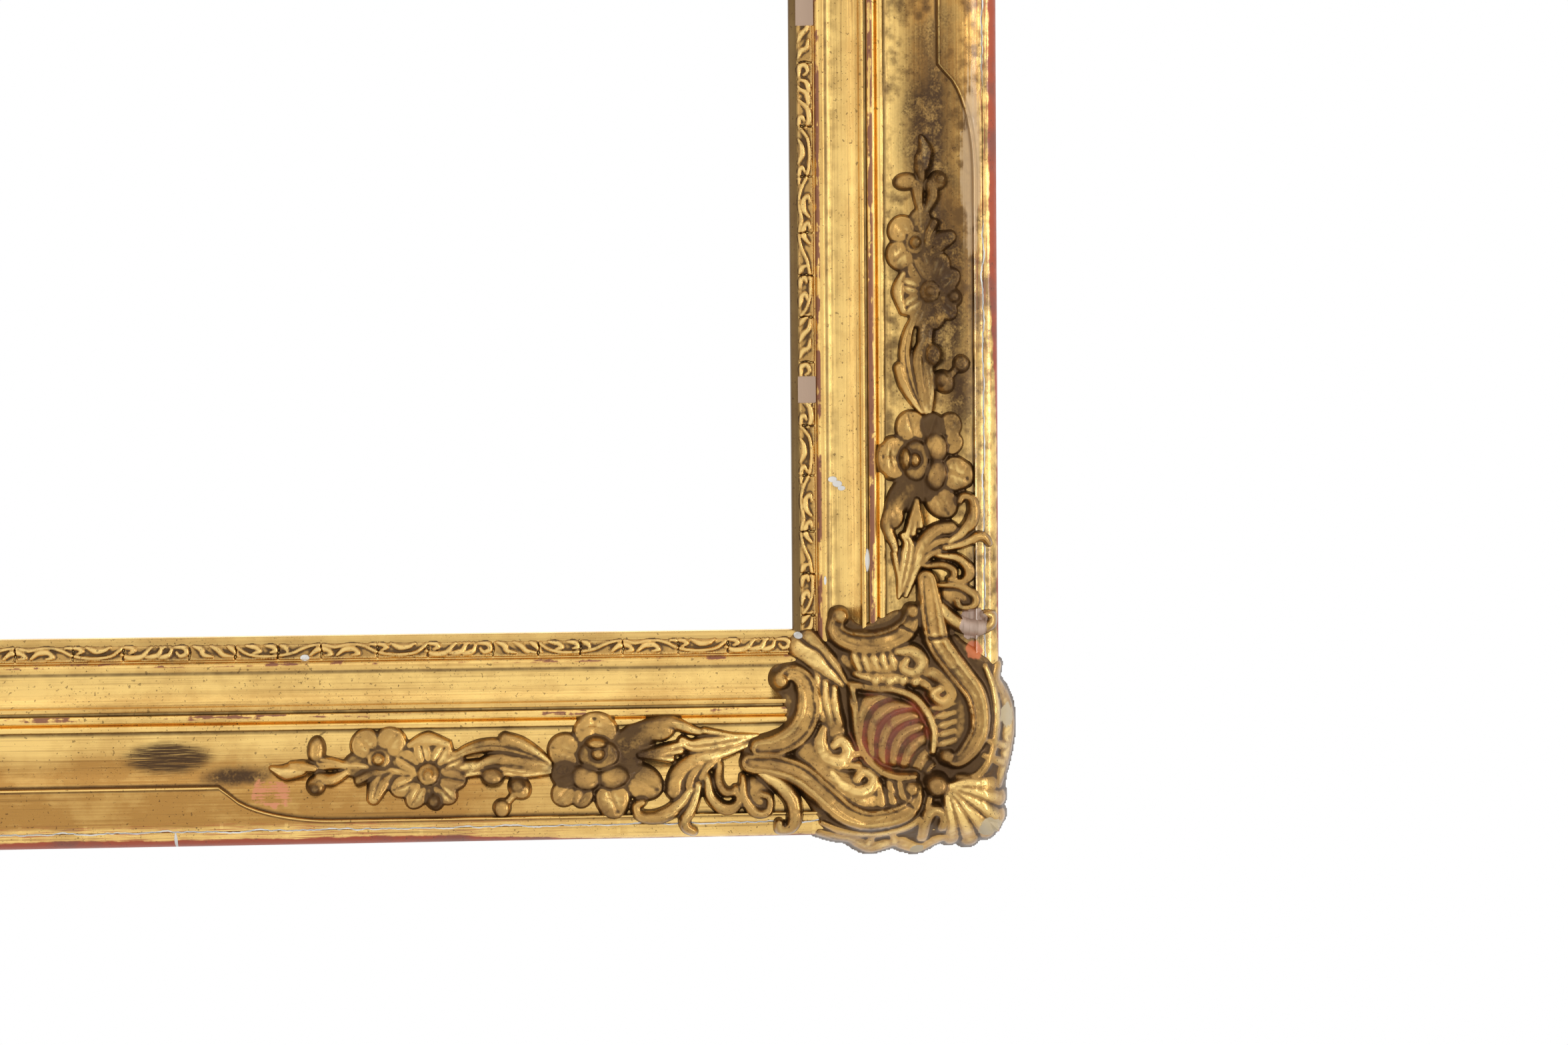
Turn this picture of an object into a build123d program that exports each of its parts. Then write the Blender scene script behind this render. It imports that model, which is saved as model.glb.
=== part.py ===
from build123d import *
import os
from math import atan2, degrees

# Picture, rebate and moulding, in millimetres
# X is right, Z is up, the back lies on Y = 0 and the front faces -Y
PICTURE_WIDTH = 1000.0
PICTURE_HEIGHT = 810.0
PICTURE_PLAY = 1.0
SIGHT_COVER = 8.5
RAIL_WIDTH = 110.0
REBATE_DEPTH = 18.0
LIP_THICKNESS = 7.0

# Members of the moulding, counted outward from the sight edge
SIGHT_FLAT_WIDTH = 3.5
STRIP_BED_WIDTH = 9.5
OVOLO_WIDTH = 5.8
COVE_WIDTH = 17.5
FILLET_WIDTH = 2.6
GROOVE_WIDTH = 1.3
TORUS_WIDTH = 5.4
BEAD_WIDTH = 4.2
STRIP_THICKNESS = 2.6

# Outer half of the moulding, counted inward from the outer edge
BAND_WIDTH = 33.0
BAND_CORNER_WIDTH = 14.5
BAND_THICKNESS = 3.6
BAND_TURN = 405.0
BAND_RUN = 350.0
ROLL_WIDTH = 13.0
OUTER_STRIP_WIDTH = 9.0
SIDE_SLOPE = 3.0

# Glue line under every applied ornament, and the play of a let-in key
GLUE_LINE = 0.1
KEY_PLAY = 0.1
KEY_LENGTH = 74.0
KEY_WIDTH = 16.0
KEY_DEPTH = 8.0

# Turn buttons that hold the picture in its rebate
BUTTON_LENGTH = 38.0
BUTTON_RADIUS = 6.0
BUTTON_TIP_RADIUS = 4.5
BUTTON_THICKNESS = 1.8
BUTTON_INSET = 13.0
BUTTON_PLAY = 0.1
BUTTON_REACH_X = 270.0
BUTTON_REACH_Z = 140.0
WASHER_RADIUS = 4.5
WASHER_THICKNESS = 1.0
BUTTON_SCREW_RADIUS = 1.75
BUTTON_SCREW_LENGTH = 16.0
BUTTON_HEAD_RADIUS = 3.8
BUTTON_HEAD_HEIGHT = 2.2

# Strap hangers with their rings
HANGER_HEIGHT = 262.0
STRAP_WIDTH = 14.0
STRAP_LENGTH = 46.0
STRAP_THICKNESS = 1.2
RING_WIRE_RADIUS = 1.6
RING_PLAY = 0.1
RING_WIDTH = 25.0
RING_REACH = 24.0
RING_INSET = 50.0
HANGER_SCREW_RADIUS = 2.0
HANGER_SCREW_LENGTH = 18.0
HANGER_HEAD_RADIUS = 3.9
HANGER_HEAD_HEIGHT = 1.9
HANGER_SCREW_FIRST = 12.0
HANGER_SCREW_SECOND = 36.0
SLOT_WIDTH = 0.9
SLOT_DEPTH = 0.8
HOLE_PLAY = 0.05

sight_x = PICTURE_WIDTH / 2 + PICTURE_PLAY - SIGHT_COVER
sight_z = PICTURE_HEIGHT / 2 + PICTURE_PLAY - SIGHT_COVER
outer_x = sight_x + RAIL_WIDTH
outer_z = sight_z + RAIL_WIDTH

# Heights of the moulding's members above the back
lip_front = REBATE_DEPTH + LIP_THICKNESS
bed_foot = lip_front + 1.5
bed_head = bed_foot + 2.0
ovolo_top = bed_head + OVOLO_WIDTH * 0.57
cove_foot = bed_head + OVOLO_WIDTH * 0.6
cove_head = cove_foot + 6.0
fillet_top = cove_head + 1.4
groove_floor = cove_head - 0.6
torus_top = groove_floor + TORUS_WIDTH * 0.48
bead_foot = groove_floor + 0.6
hollow_foot = bead_foot + 0.8
bead_top = bead_foot + 0.4 + BEAD_WIDTH * 0.38
hollow_head = hollow_foot + 8.5
ogee_top = hollow_head + 5.1
edge_front = ogee_top - 12.1
side_foot = RAIL_WIDTH - SIDE_SLOPE
band_front = edge_front + BAND_THICKNESS * 0.8
relief_top = ogee_top + 40.0

# Stations of the members, counted outward from the sight edge
at_bed = SIGHT_FLAT_WIDTH
at_ovolo = at_bed + STRIP_BED_WIDTH
at_cove = at_ovolo + OVOLO_WIDTH
at_fillet = at_cove + COVE_WIDTH
at_groove = at_fillet + FILLET_WIDTH
at_torus = at_groove + GROOVE_WIDTH
at_bead = at_torus + TORUS_WIDTH
at_hollow = at_bead + BEAD_WIDTH
at_band = RAIL_WIDTH - BAND_WIDTH
at_roll = RAIL_WIDTH - ROLL_WIDTH


def arc(start, middle, end):
    return ThreePointArc(start, middle, end)


def moulding_face():
    """Cross-section of a rail: station outward along X, height above the back along Y."""
    hollow_middle = ((at_hollow + at_band) / 2, hollow_foot + 1.4)
    ogee_middle = ((at_band + at_roll) / 2 + 0.5, (hollow_head + ogee_top) / 2 + 2.0)
    roll_middle = (RAIL_WIDTH - ROLL_WIDTH * 0.3, ogee_top - 3.4)
    edges = [
        Line((0, REBATE_DEPTH), (0, lip_front)),
        Line((0, lip_front), (at_bed, bed_foot)),
        Line((at_bed, bed_foot), (at_ovolo, bed_head)),
        arc((at_ovolo, bed_head), (at_ovolo + OVOLO_WIDTH * 0.33, ovolo_top), (at_cove, cove_foot)),
        arc((at_cove, cove_foot), (at_cove + COVE_WIDTH * 0.5, cove_foot + 0.4), (at_fillet, cove_head)),
        Line((at_fillet, cove_head), (at_fillet, fillet_top)),
        Line((at_fillet, fillet_top), (at_groove, fillet_top)),
        Line((at_groove, fillet_top), (at_groove, groove_floor)),
        Line((at_groove, groove_floor), (at_torus, groove_floor)),
        arc((at_torus, groove_floor), (at_torus + TORUS_WIDTH / 2, torus_top), (at_bead, bead_foot)),
        arc((at_bead, bead_foot), (at_bead + BEAD_WIDTH * 0.46, bead_top), (at_hollow, hollow_foot)),
        arc((at_hollow, hollow_foot), hollow_middle, (at_band, hollow_head)),
        arc((at_band, hollow_head), ogee_middle, (at_roll, ogee_top)),
        arc((at_roll, ogee_top), roll_middle, (RAIL_WIDTH, edge_front)),
        Line((RAIL_WIDTH, edge_front), (side_foot, 0)),
        Line((side_foot, 0), (SIGHT_COVER, 0)),
        Line((SIGHT_COVER, 0), (SIGHT_COVER, REBATE_DEPTH)),
        Line((SIGHT_COVER, REBATE_DEPTH), (0, REBATE_DEPTH)),
    ]
    return make_face(edges)


def band_face():
    """Cross-section of the raised outer band; its inner edge is trimmed in plan."""
    inner = at_band - 10.0
    inner_top = hollow_head + BAND_THICKNESS
    crest = ((at_band + at_roll) / 2, ogee_top + BAND_THICKNESS * 0.8)
    outer_top = (at_roll + 1.5, ogee_top + BAND_THICKNESS * 0.6)
    shoulder = (RAIL_WIDTH - ROLL_WIDTH * 0.24, ogee_top - 1.2)
    edges = [
        Line((inner, edge_front - 8.0), (inner, inner_top)),
        arc((inner, inner_top), crest, outer_top),
        arc(outer_top, shoulder, (RAIL_WIDTH, band_front)),
        Line((RAIL_WIDTH, band_front), (RAIL_WIDTH, edge_front)),
        Line((RAIL_WIDTH, edge_front), (RAIL_WIDTH - 1.0, edge_front - 8.0)),
        Line((RAIL_WIDTH - 1.0, edge_front - 8.0), (inner, edge_front - 8.0)),
    ]
    return make_face(edges)


def in_plan(edges):
    """A prism over a plan outline (station, run) that stands the full height of the moulding."""
    face = make_face(edges)
    upright = Plane(origin=(0, -10, 0), x_dir=(1, 0, 0), z_dir=(0, 1, 0))
    return extrude(upright * face, relief_top)


def mitred(bar, half_sight):
    """Cuts both ends of a bar lying along Z to the mitres of its frame."""
    for way in (1, -1):
        cut = Plane(origin=(0, 0, way * half_sight), z_dir=(-1, 0, way))
        bar = split(bar, bisect_by=cut, keep=Keep.BOTTOM)
    return bar


def corner_reserve(half_outer):
    """Plan of the hollow that the band leaves free: narrow along the middle, wide at both corners."""
    wide = RAIL_WIDTH - BAND_CORNER_WIDTH
    far = half_outer + 20.0
    turn = half_outer - BAND_TURN
    run = half_outer - BAND_RUN
    inner = at_band - 20.0
    edges = [
        Line((inner, far), (inner, -far)),
        Line((inner, -far), (wide, -far)),
        Line((wide, -far), (wide, -run)),
        TangentArc((wide, -run), (at_band, -turn), tangent=(0, 1)),
        Line((at_band, -turn), (at_band, turn)),
        TangentArc((wide, run), (at_band, turn), tangent=(0, -1)),
        Line((wide, run), (wide, far)),
        Line((wide, far), (inner, far)),
    ]
    return in_plan(edges)


def plain_rail(half_sight):
    """A full moulded rail lying along Z, before it is split and drilled."""
    half_outer = half_sight + RAIL_WIDTH
    bar = extrude(moulding_face(), half_outer + 10.0, both=True)
    band = extrude(band_face(), half_outer + 10.0, both=True) - corner_reserve(half_outer)
    return mitred(bar + band, half_sight)


bottom_plane = Plane(origin=(0, 0, -sight_z), x_dir=(0, 0, -1), z_dir=(-1, 0, 0))
right_plane = Plane(origin=(sight_x, 0, 0), x_dir=(1, 0, 0), z_dir=(0, 0, -1))
whole_bottom = bottom_plane * plain_rail(sight_x)
whole_right = right_plane * plain_rail(sight_z)

# Each rail is a core with a narrow strip glued along its outside
strip_cut = RAIL_WIDTH - OUTER_STRIP_WIDTH
bottom_joint = Plane(origin=(0, 0, -sight_z - strip_cut), z_dir=(0, 0, 1))
right_joint = Plane(origin=(sight_x + strip_cut, 0, 0), z_dir=(-1, 0, 0))
bottom_rail = split(whole_bottom, bisect_by=bottom_joint, keep=Keep.TOP)
bottom_outer = split(whole_bottom, bisect_by=bottom_joint, keep=Keep.BOTTOM)
right_rail = split(whole_right, bisect_by=right_joint, keep=Keep.TOP)
right_outer = split(whole_right, bisect_by=right_joint, keep=Keep.BOTTOM)


def sight_strip(half_sight):
    """Pressed ornament strip bedded between the sight flat and the ovolo."""
    near = at_bed + 0.4
    far = at_ovolo - 0.3
    slope = (bed_head - bed_foot) / STRIP_BED_WIDTH
    foot_near = bed_foot + slope * (near - at_bed) + GLUE_LINE
    foot_far = bed_foot + slope * (far - at_bed) + GLUE_LINE
    top = ((near + far) / 2, (foot_near + foot_far) / 2 + STRIP_THICKNESS)
    edges = [
        Line((near, foot_near), (near, foot_near + 0.8)),
        arc((near, foot_near + 0.8), top, (far, foot_far + 0.8)),
        Line((far, foot_far + 0.8), (far, foot_far)),
        Line((far, foot_far), (near, foot_near)),
    ]
    bar = extrude(make_face(edges), half_sight + RAIL_WIDTH, both=True)
    return mitred(bar, half_sight)


bottom_sight = bottom_plane * sight_strip(sight_x)
right_sight = right_plane * sight_strip(sight_z)


# Applied ornament of the lower right corner, drawn in plan as (run, rise)
# Run goes from the outer corner along the bottom rail, and rise from the outer edge towards the picture
# Each casting has a front that leans with the moulding
ornament_plane = Plane(origin=(outer_x, -(lip_front - 6.0), -outer_z), x_dir=(-1, 0, 0), z_dir=(0, 1, 0))
diagonal = Plane(origin=(outer_x, 0, -outer_z), z_dir=(1, 0, 1))


def place(run, rise, height):
    return Vector(outer_x - run, -height, -outer_z + rise)


def dot(run, rise, radius):
    return Pos(run, rise) * Circle(radius)


def stroke(points, width):
    """A round-ended band of one width through (run, rise) points."""
    pieces = []
    for first, second in zip(points, points[1:]):
        way = Vector(*second) - Vector(*first)
        middle = (Vector(*second) + Vector(*first)) / 2
        turn = degrees(atan2(way.Y, way.X))
        pieces.append(Pos(middle.X, middle.Y) * Rot(0, 0, turn) * SlotCenterToCenter(way.length, width))
    return pieces


def flower(run, rise, reach, petal_radius, petals, turn):
    """A ring of round petals about an eye."""
    pieces = [dot(run, rise, reach)]
    for spot in PolarLocations(reach, petals, turn):
        pieces.append(dot(run + spot.position.X, rise + spot.position.Y, petal_radius))
    return pieces


def raised(pieces, front):
    """Carries a plan forward from inside the moulding to a leaning front."""
    body = extrude(ornament_plane * (Sketch() + pieces), relief_top, dir=(0, -1, 0))
    return split(body, bisect_by=front, keep=Keep.BOTTOM)


def leaning(lift):
    """Front of a casting on the bottom rail, leaning back from the outer edge towards the picture."""
    return Plane(origin=place(0, 0, ogee_top + 8.5 + lift), z_dir=(0, -1, 0.28))


def garland():
    """Outer spray: buds, a small flower, a daisy, leaves and berries on one stem."""
    pieces = flower(328, 45, 8.0, 5.5, 5, 18) + flower(302, 36, 12.0, 5.5, 8, 0)
    for run, rise, radius in [(376, 39, 5.0), (361, 50, 4.5), (362, 30, 4.5), (266, 35, 5.5), (251, 29, 5.5),
                              (262, 20, 4.0), (260, 54, 4.5)]:
        pieces.append(dot(run, rise, radius))
    for points, width in [([(376, 39), (330, 43)], 4.5), ([(361, 50), (345, 41), (362, 30)], 4.5),
                          ([(330, 43), (302, 38), (266, 36), (251, 29), (240, 38)], 6.0),
                          ([(304, 40), (303, 55)], 9.0),
                          ([(292, 40), (287, 50), (247, 45), (240, 38)], 8.0), ([(266, 36), (262, 20)], 5.0),
                          ([(268, 47), (260, 54)], 5.0)]:
        pieces += stroke(points, width)
    small_eye = Pos(place(328, 45, ogee_top - 5.0)) * Sphere(5.0)
    daisy_eye = Pos(place(302, 36, ogee_top - 2.5)) * Sphere(5.5)
    return Part() + [raised(pieces, leaning(0.0)), small_eye, daisy_eye]


def bouquet():
    """Inner spray: the large flower, its leaves, the ribbed leaf and the hooked scrolls under it."""
    pieces = []
    for run, rise, radius in [(211, 45, 15.0), (212, 59, 9.0), (226, 50, 8.0), (222, 37, 9.0), (225, 25, 7.0),
                              (204, 23, 8.5), (200, 37, 8.0), (194, 47, 7.0), (186, 30, 6.5), (178, 58, 5.5),
                              (144, 23, 7.0), (126, 21, 6.5)]:
        pieces.append(dot(run, rise, radius))
    for points, width in [([(194, 47), (164, 48), (141, 56)], 10.0), ([(192, 54), (178, 58)], 6.0),
                          ([(164, 46), (150, 38)], 9.0), ([(166, 44), (160, 31)], 8.0),
                          ([(222, 37), (204, 23)], 8.0),
                          ([(204, 23), (189, 18), (166, 15), (144, 23), (126, 21), (110, 12)], 6.5),
                          ([(166, 15), (162, 6)], 6.0), ([(186, 30), (166, 44)], 8.0)]:
        pieces += stroke(points, width)
    eye = Pos(place(211, 47, ogee_top - 3.0)) * Sphere(8.0)
    return Part() + [raised(pieces, leaning(0.0)), eye]


def corner_half():
    """Half of the cartouche's plan, from the outer corner round to the inner one."""
    return [(-2, -2), (9, -4.5), (24, -2.5), (33, -5), (40, -9.5), (46, -9.5), (53, -7), (60, -9), (68, -10),
            (73, -5), (86, -3), (93, 0), (93, 5), (98, 15), (107, 25), (119, 32), (131, 34), (135, 41),
            (128, 49), (113, 54), (107, 64), (110, 78), (117, 86), (112, 93), (100, 92)]


def turban_shell():
    """The banded shell on the diagonal, turned about its own sloping axis."""
    length = 54.0
    radii = [8.0, 13.0, 16.5, 16.5, 13.0, 8.0]
    step = length / len(radii)
    outline = [Line((0, 0), (radii[0] * 0.8, 0))]
    for index, radius in enumerate(radii):
        low = (radius * 0.8, index * step)
        high = (radius * 0.8, (index + 1) * step)
        outline.append(arc(low, (radius, (index + 0.5) * step), high))
        following = (radii[index + 1] * 0.8, high[1]) if index + 1 < len(radii) else (0, length)
        if following != high:
            outline.append(Line(high, following))
    outline.append(Line((0, length), (0, 0)))
    body = revolve(make_face(outline), Axis.Y)
    start = place(73, 73, ogee_top - 8.0)
    axis = place(34, 34, ogee_top - 1.0) - start
    upright = Plane(origin=start, x_dir=(1, 0, 1), z_dir=axis)
    return upright * (Rot(90, 0, 0) * body)


def cartouche():
    """Corner casting: plate, paired scrolls, fan of ribs, banded shell and its ball."""
    inner = RAIL_WIDTH - at_cove
    plan = make_face(Polyline(*corner_half(), (inner, inner), close=True))
    big = [(129, 41), (117, 38), (104, 31), (93, 20), (81, 12), (68, 8), (55, 10), (46, 16), (42, 25)]
    small = [(112, 88), (106, 84), (103, 73), (104, 61), (111, 51), (121, 46)]
    ribs = stroke([(27, 26), (9, 1)], 6.0) + stroke([(27, 26), (20, 1)], 6.0)
    half = Part() + [raised([plan], leaning(-1.0)), raised(stroke(big, 9.5), leaning(3.0)),
                     raised(stroke(small, 7.0), leaning(3.0)), raised(ribs, leaning(1.5))]
    knob = Pos(place(29, 29, ogee_top + 4.0)) * Sphere(6.0)
    return half + [mirror(half, about=diagonal), turban_shell(), knob]


# Every casting is cut to lie on the moulding, a glue line clear of it
beneath_bottom = Pos(0, -GLUE_LINE, 0) * whole_bottom
beneath_right = Pos(0, -GLUE_LINE, 0) * whole_right
along_edge = Box(400, band_front + 2.0, 20, align=(Align.CENTER, Align.MAX, Align.MIN))
beside_bottom = Pos(place(0, -GLUE_LINE, 0)) * along_edge
beside_right = mirror(beside_bottom, about=diagonal)
corner_piece = cartouche() - beneath_bottom - beneath_right - beside_bottom - beside_right
bouquet_piece = bouquet() - beneath_bottom
garland_piece = garland() - beneath_bottom


# Wooden keys let into the back across each mitre
def mitre_key(play):
    middle = RAIL_WIDTH * 0.52
    block = Box(KEY_LENGTH + 2 * play, KEY_DEPTH + play, KEY_WIDTH + 2 * play,
                align=(Align.CENTER, Align.MAX, Align.CENTER))
    return Pos(sight_x + middle, 0, -sight_z - middle) * Rot(0, -45, 0) * block


key_piece = mitre_key(0.0)
key_slot = mitre_key(KEY_PLAY)


# Round-headed slotted screw pointing into the wood, its head seated at the origin on the +Y side
def wood_screw(head_radius, head_height, shank_radius, length):
    half = [
        Line((0, -length), (shank_radius, -length + 4.0)),
        Line((shank_radius, -length + 4.0), (shank_radius, 0)),
        Line((shank_radius, 0), (head_radius, 0)),
        arc((head_radius, 0), (head_radius * 0.72, head_height * 0.7), (0, head_height)),
        Line((0, head_height), (0, -length)),
    ]
    slot = Pos(0, head_height, 0) * Box(3 * head_radius, 2 * SLOT_DEPTH, SLOT_WIDTH)
    return revolve(make_face(half), Axis.Y) - slot


def turn_button():
    """A pear-shaped plate about its pivot hole, pointing along +X."""
    tip = BUTTON_LENGTH - BUTTON_RADIUS - BUTTON_TIP_RADIUS
    plan = make_hull([*Circle(BUTTON_RADIUS).edges(), *(Pos(tip, 0) * Circle(BUTTON_TIP_RADIUS)).edges()])
    plan = plan - Circle(BUTTON_SCREW_RADIUS + BUTTON_PLAY)
    lying = Plane(origin=(0, 0, 0), x_dir=(1, 0, 0), z_dir=(0, 1, 0))
    return Pos(0, WASHER_THICKNESS + BUTTON_PLAY, 0) * extrude(lying * plan, BUTTON_THICKNESS)


def pivot_washer():
    lying = Plane(origin=(0, 0, 0), x_dir=(1, 0, 0), z_dir=(0, 1, 0))
    face = Circle(WASHER_RADIUS) - Circle(BUTTON_SCREW_RADIUS + HOLE_PLAY)
    return extrude(lying * face, WASHER_THICKNESS)


pivot_station = SIGHT_COVER + BUTTON_INSET
head_seat = WASHER_THICKNESS + BUTTON_THICKNESS + 2 * BUTTON_PLAY
button_screw = Pos(0, head_seat, 0) * wood_screw(BUTTON_HEAD_RADIUS, BUTTON_HEAD_HEIGHT, BUTTON_SCREW_RADIUS,
                                                 BUTTON_SCREW_LENGTH)
low = -sight_z - pivot_station
side = sight_x + pivot_station
button_places = {
    "bottom_right": (Pos(BUTTON_REACH_X, 0, low), 180.0),
    "bottom_left": (Pos(-BUTTON_REACH_X, 0, low), 0.0),
    "top_right": (Pos(BUTTON_REACH_X, 0, -low), 180.0),
    "top_left": (Pos(-BUTTON_REACH_X, 0, -low), 0.0),
    "right_upper": (Pos(side, 0, BUTTON_REACH_Z), 90.0),
    "right_lower": (Pos(side, 0, -BUTTON_REACH_Z), -90.0),
    "left_upper": (Pos(-side, 0, BUTTON_REACH_Z), 90.0),
    "left_lower": (Pos(-side, 0, -BUTTON_REACH_Z), -90.0),
}


def drilled(radius, depth):
    return Rot(90, 0, 0) * Cylinder(radius + HOLE_PLAY, 2 * (depth + 1.0))


# Strap hanger on the right rail: a plate rolled round the straight side of its ring
knuckle_inner = RING_WIRE_RADIUS + RING_PLAY
knuckle_outer = knuckle_inner + STRAP_THICKNESS
knuckle_height = knuckle_outer + 0.3
knuckle_x = sight_x + RING_INSET


def strap():
    plate = Box(STRAP_LENGTH, STRAP_THICKNESS, STRAP_WIDTH, align=(Align.MIN, Align.MIN, Align.CENTER))
    plate = fillet(plate.edges().filter_by(Axis.Y).group_by(Axis.X)[-1], STRAP_WIDTH * 0.45)
    knuckle = Pos(0, knuckle_height, 0) * Cylinder(knuckle_outer, STRAP_WIDTH)
    bore = Pos(0, knuckle_height, 0) * Cylinder(knuckle_inner, STRAP_WIDTH * 2)
    holes = []
    for station in (HANGER_SCREW_FIRST, HANGER_SCREW_SECOND):
        holes.append(Pos(station, 0, 0) * drilled(HANGER_SCREW_RADIUS, STRAP_THICKNESS))
    return Pos(knuckle_x, 0, HANGER_HEIGHT) * (plate + knuckle - bore - holes)


def hanging_ring():
    """A D-shaped wire ring about its straight side, reaching towards the picture."""
    half = RING_WIDTH / 2
    turn = 4.0
    shoulder = RING_REACH - half
    upright = Plane(origin=(0, 0, 0), x_dir=(-1, 0, 0), z_dir=(0, 1, 0))
    edges = [
        Line((0, -half + turn), (0, half - turn)),
        TangentArc((0, half - turn), (turn, half), tangent=(0, 1)),
        Line((turn, half), (shoulder, half)),
        ThreePointArc((shoulder, half), (RING_REACH, 0), (shoulder, -half)),
        Line((shoulder, -half), (turn, -half)),
        TangentArc((turn, -half), (0, -half + turn), tangent=(-1, 0)),
    ]
    way = Wire([upright * edge for edge in edges])
    start = Plane(origin=way @ 0, z_dir=way % 0)
    return Pos(knuckle_x, knuckle_height, HANGER_HEIGHT) * sweep(start * Circle(RING_WIRE_RADIUS), path=way)


head = (HANGER_HEAD_RADIUS, HANGER_HEAD_HEIGHT)
shank = (HANGER_SCREW_RADIUS, HANGER_SCREW_LENGTH)
hanger_screw = Pos(0, STRAP_THICKNESS, 0) * wood_screw(*head, *shank)
hanger_stations = []
for station in (HANGER_SCREW_FIRST, HANGER_SCREW_SECOND):
    hanger_stations.append(Pos(knuckle_x + station, 0, HANGER_HEIGHT))

# Slots and screw holes in the backs of the rails
bottom_cuts = [key_slot, mirror(key_slot, about=Plane.YZ)]
right_cuts = [key_slot, mirror(key_slot, about=Plane.XY)]
for spot, angle in button_places.values():
    hole = spot * drilled(BUTTON_SCREW_RADIUS, BUTTON_SCREW_LENGTH)
    bottom_cuts.append(hole)
    right_cuts.append(hole)
for station in hanger_stations:
    right_cuts.append(station * drilled(HANGER_SCREW_RADIUS, HANGER_SCREW_LENGTH))
bottom_rail = bottom_rail - bottom_cuts
right_rail = right_rail - right_cuts

nodes = {}


def both_ways(name, mirrored_name, shape, plane):
    nodes[name] = shape
    nodes[mirrored_name] = mirror(shape, about=plane)


for first, second, kind, plane in [("bottom", "top", (bottom_rail, bottom_outer, bottom_sight), Plane.XY),
                                   ("right", "left", (right_rail, right_outer, right_sight), Plane.YZ)]:
    for label, shape in zip(("rail", "outer_strip", "sight_strip"), kind):
        both_ways(f"{label}_{first}", f"{label}_{second}", shape, plane)

for vertical, flip_vertical in (("bottom", False), ("top", True)):
    for lateral, flip_lateral in (("right", False), ("left", True)):
        for label, shape in [
            (f"cartouche_{vertical}_{lateral}", corner_piece),
            (f"mitre_key_{vertical}_{lateral}", key_piece),
            (f"bouquet_{vertical}_near_{lateral}", bouquet_piece),
            (f"garland_{vertical}_near_{lateral}", garland_piece),
            (f"bouquet_{lateral}_near_{vertical}", mirror(bouquet_piece, about=diagonal)),
            (f"garland_{lateral}_near_{vertical}", mirror(garland_piece, about=diagonal)),
        ]:
            moved = mirror(shape, about=Plane.XY) if flip_vertical else shape
            nodes[label] = mirror(moved, about=Plane.YZ) if flip_lateral else moved

both_ways("hanger_strap_right", "hanger_strap_left", strap(), Plane.YZ)
both_ways("hanging_ring_right", "hanging_ring_left", hanging_ring(), Plane.YZ)
right_screws = [station * hanger_screw for station in hanger_stations]
left_screws = [mirror(screw, about=Plane.YZ) for screw in right_screws]
nodes["hanger_screws"] = Compound(children=right_screws + left_screws)

for name, (spot, angle) in button_places.items():
    nodes[f"turn_button_{name}"] = spot * Rot(0, -angle, 0) * turn_button()
nodes["button_screws"] = Compound(children=[spot * button_screw for spot, angle in button_places.values()])
nodes["button_washers"] = Compound(children=[spot * pivot_washer() for spot, angle in button_places.values()])

os.makedirs("parts", exist_ok=True)
for name, shape in nodes.items():
    export_step(shape, f"parts/{name}.step")
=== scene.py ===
import math

import bmesh
import bpy
import numpy as np
from mathutils import Matrix, Vector


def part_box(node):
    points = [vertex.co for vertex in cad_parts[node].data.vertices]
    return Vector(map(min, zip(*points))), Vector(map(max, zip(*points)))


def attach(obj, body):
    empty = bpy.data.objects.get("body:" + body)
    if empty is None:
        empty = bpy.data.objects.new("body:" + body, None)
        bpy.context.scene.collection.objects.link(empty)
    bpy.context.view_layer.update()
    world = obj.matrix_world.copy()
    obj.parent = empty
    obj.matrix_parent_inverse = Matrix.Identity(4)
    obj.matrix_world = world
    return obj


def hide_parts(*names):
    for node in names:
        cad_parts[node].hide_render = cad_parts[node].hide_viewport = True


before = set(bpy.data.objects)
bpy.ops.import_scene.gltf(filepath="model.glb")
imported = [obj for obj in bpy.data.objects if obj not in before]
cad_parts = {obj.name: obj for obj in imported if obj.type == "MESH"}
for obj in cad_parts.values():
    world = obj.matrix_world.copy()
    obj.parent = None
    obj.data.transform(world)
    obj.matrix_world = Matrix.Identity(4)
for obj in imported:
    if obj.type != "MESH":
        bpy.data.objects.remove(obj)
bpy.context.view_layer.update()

# Mouldings and ornament are drawn in millimetres and placed in metres
MM = 0.001
RAIL_WIDTH = 110.0
OUTER_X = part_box("outer_strip_right")[1][0] / MM
OUTER_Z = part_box("outer_strip_top")[1][2] / MM
SIGHT_X = OUTER_X - RAIL_WIDTH
SIGHT_Z = OUTER_Z - RAIL_WIDTH

# Stations outward from the sight edge, and heights above the back
REBATE_WIDTH = 8.5
REBATE_DEPTH = 18.0
STRIP_BED_START = (3.5, 26.5)
STRIP_BED_END = (13.0, 28.5)
COVE_START = (18.8, 31.98)
HOLLOW_START = (49.8, 38.78)
HOLLOW_END = (77.0, 47.28)
OGEE_END = (97.0, 52.38)
OUTER_EDGE = (RAIL_WIDTH, 40.28)
BAND_START = (67.0, 50.88)
BAND_SHOULDER = (98.5, 54.54)
BAND_OUTER = (RAIL_WIDTH, 43.16)
BAND_MIDDLE = 77.0
BAND_CORNER = 95.5
BAND_TURN = 405.0
BAND_RUN = 350.0
STRIP_JOINT = 101.0
SIDE_FOOT = 107.0
BACK_FACE = 0.15
SIDES = ("bottom", "top", "right", "left")


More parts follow.
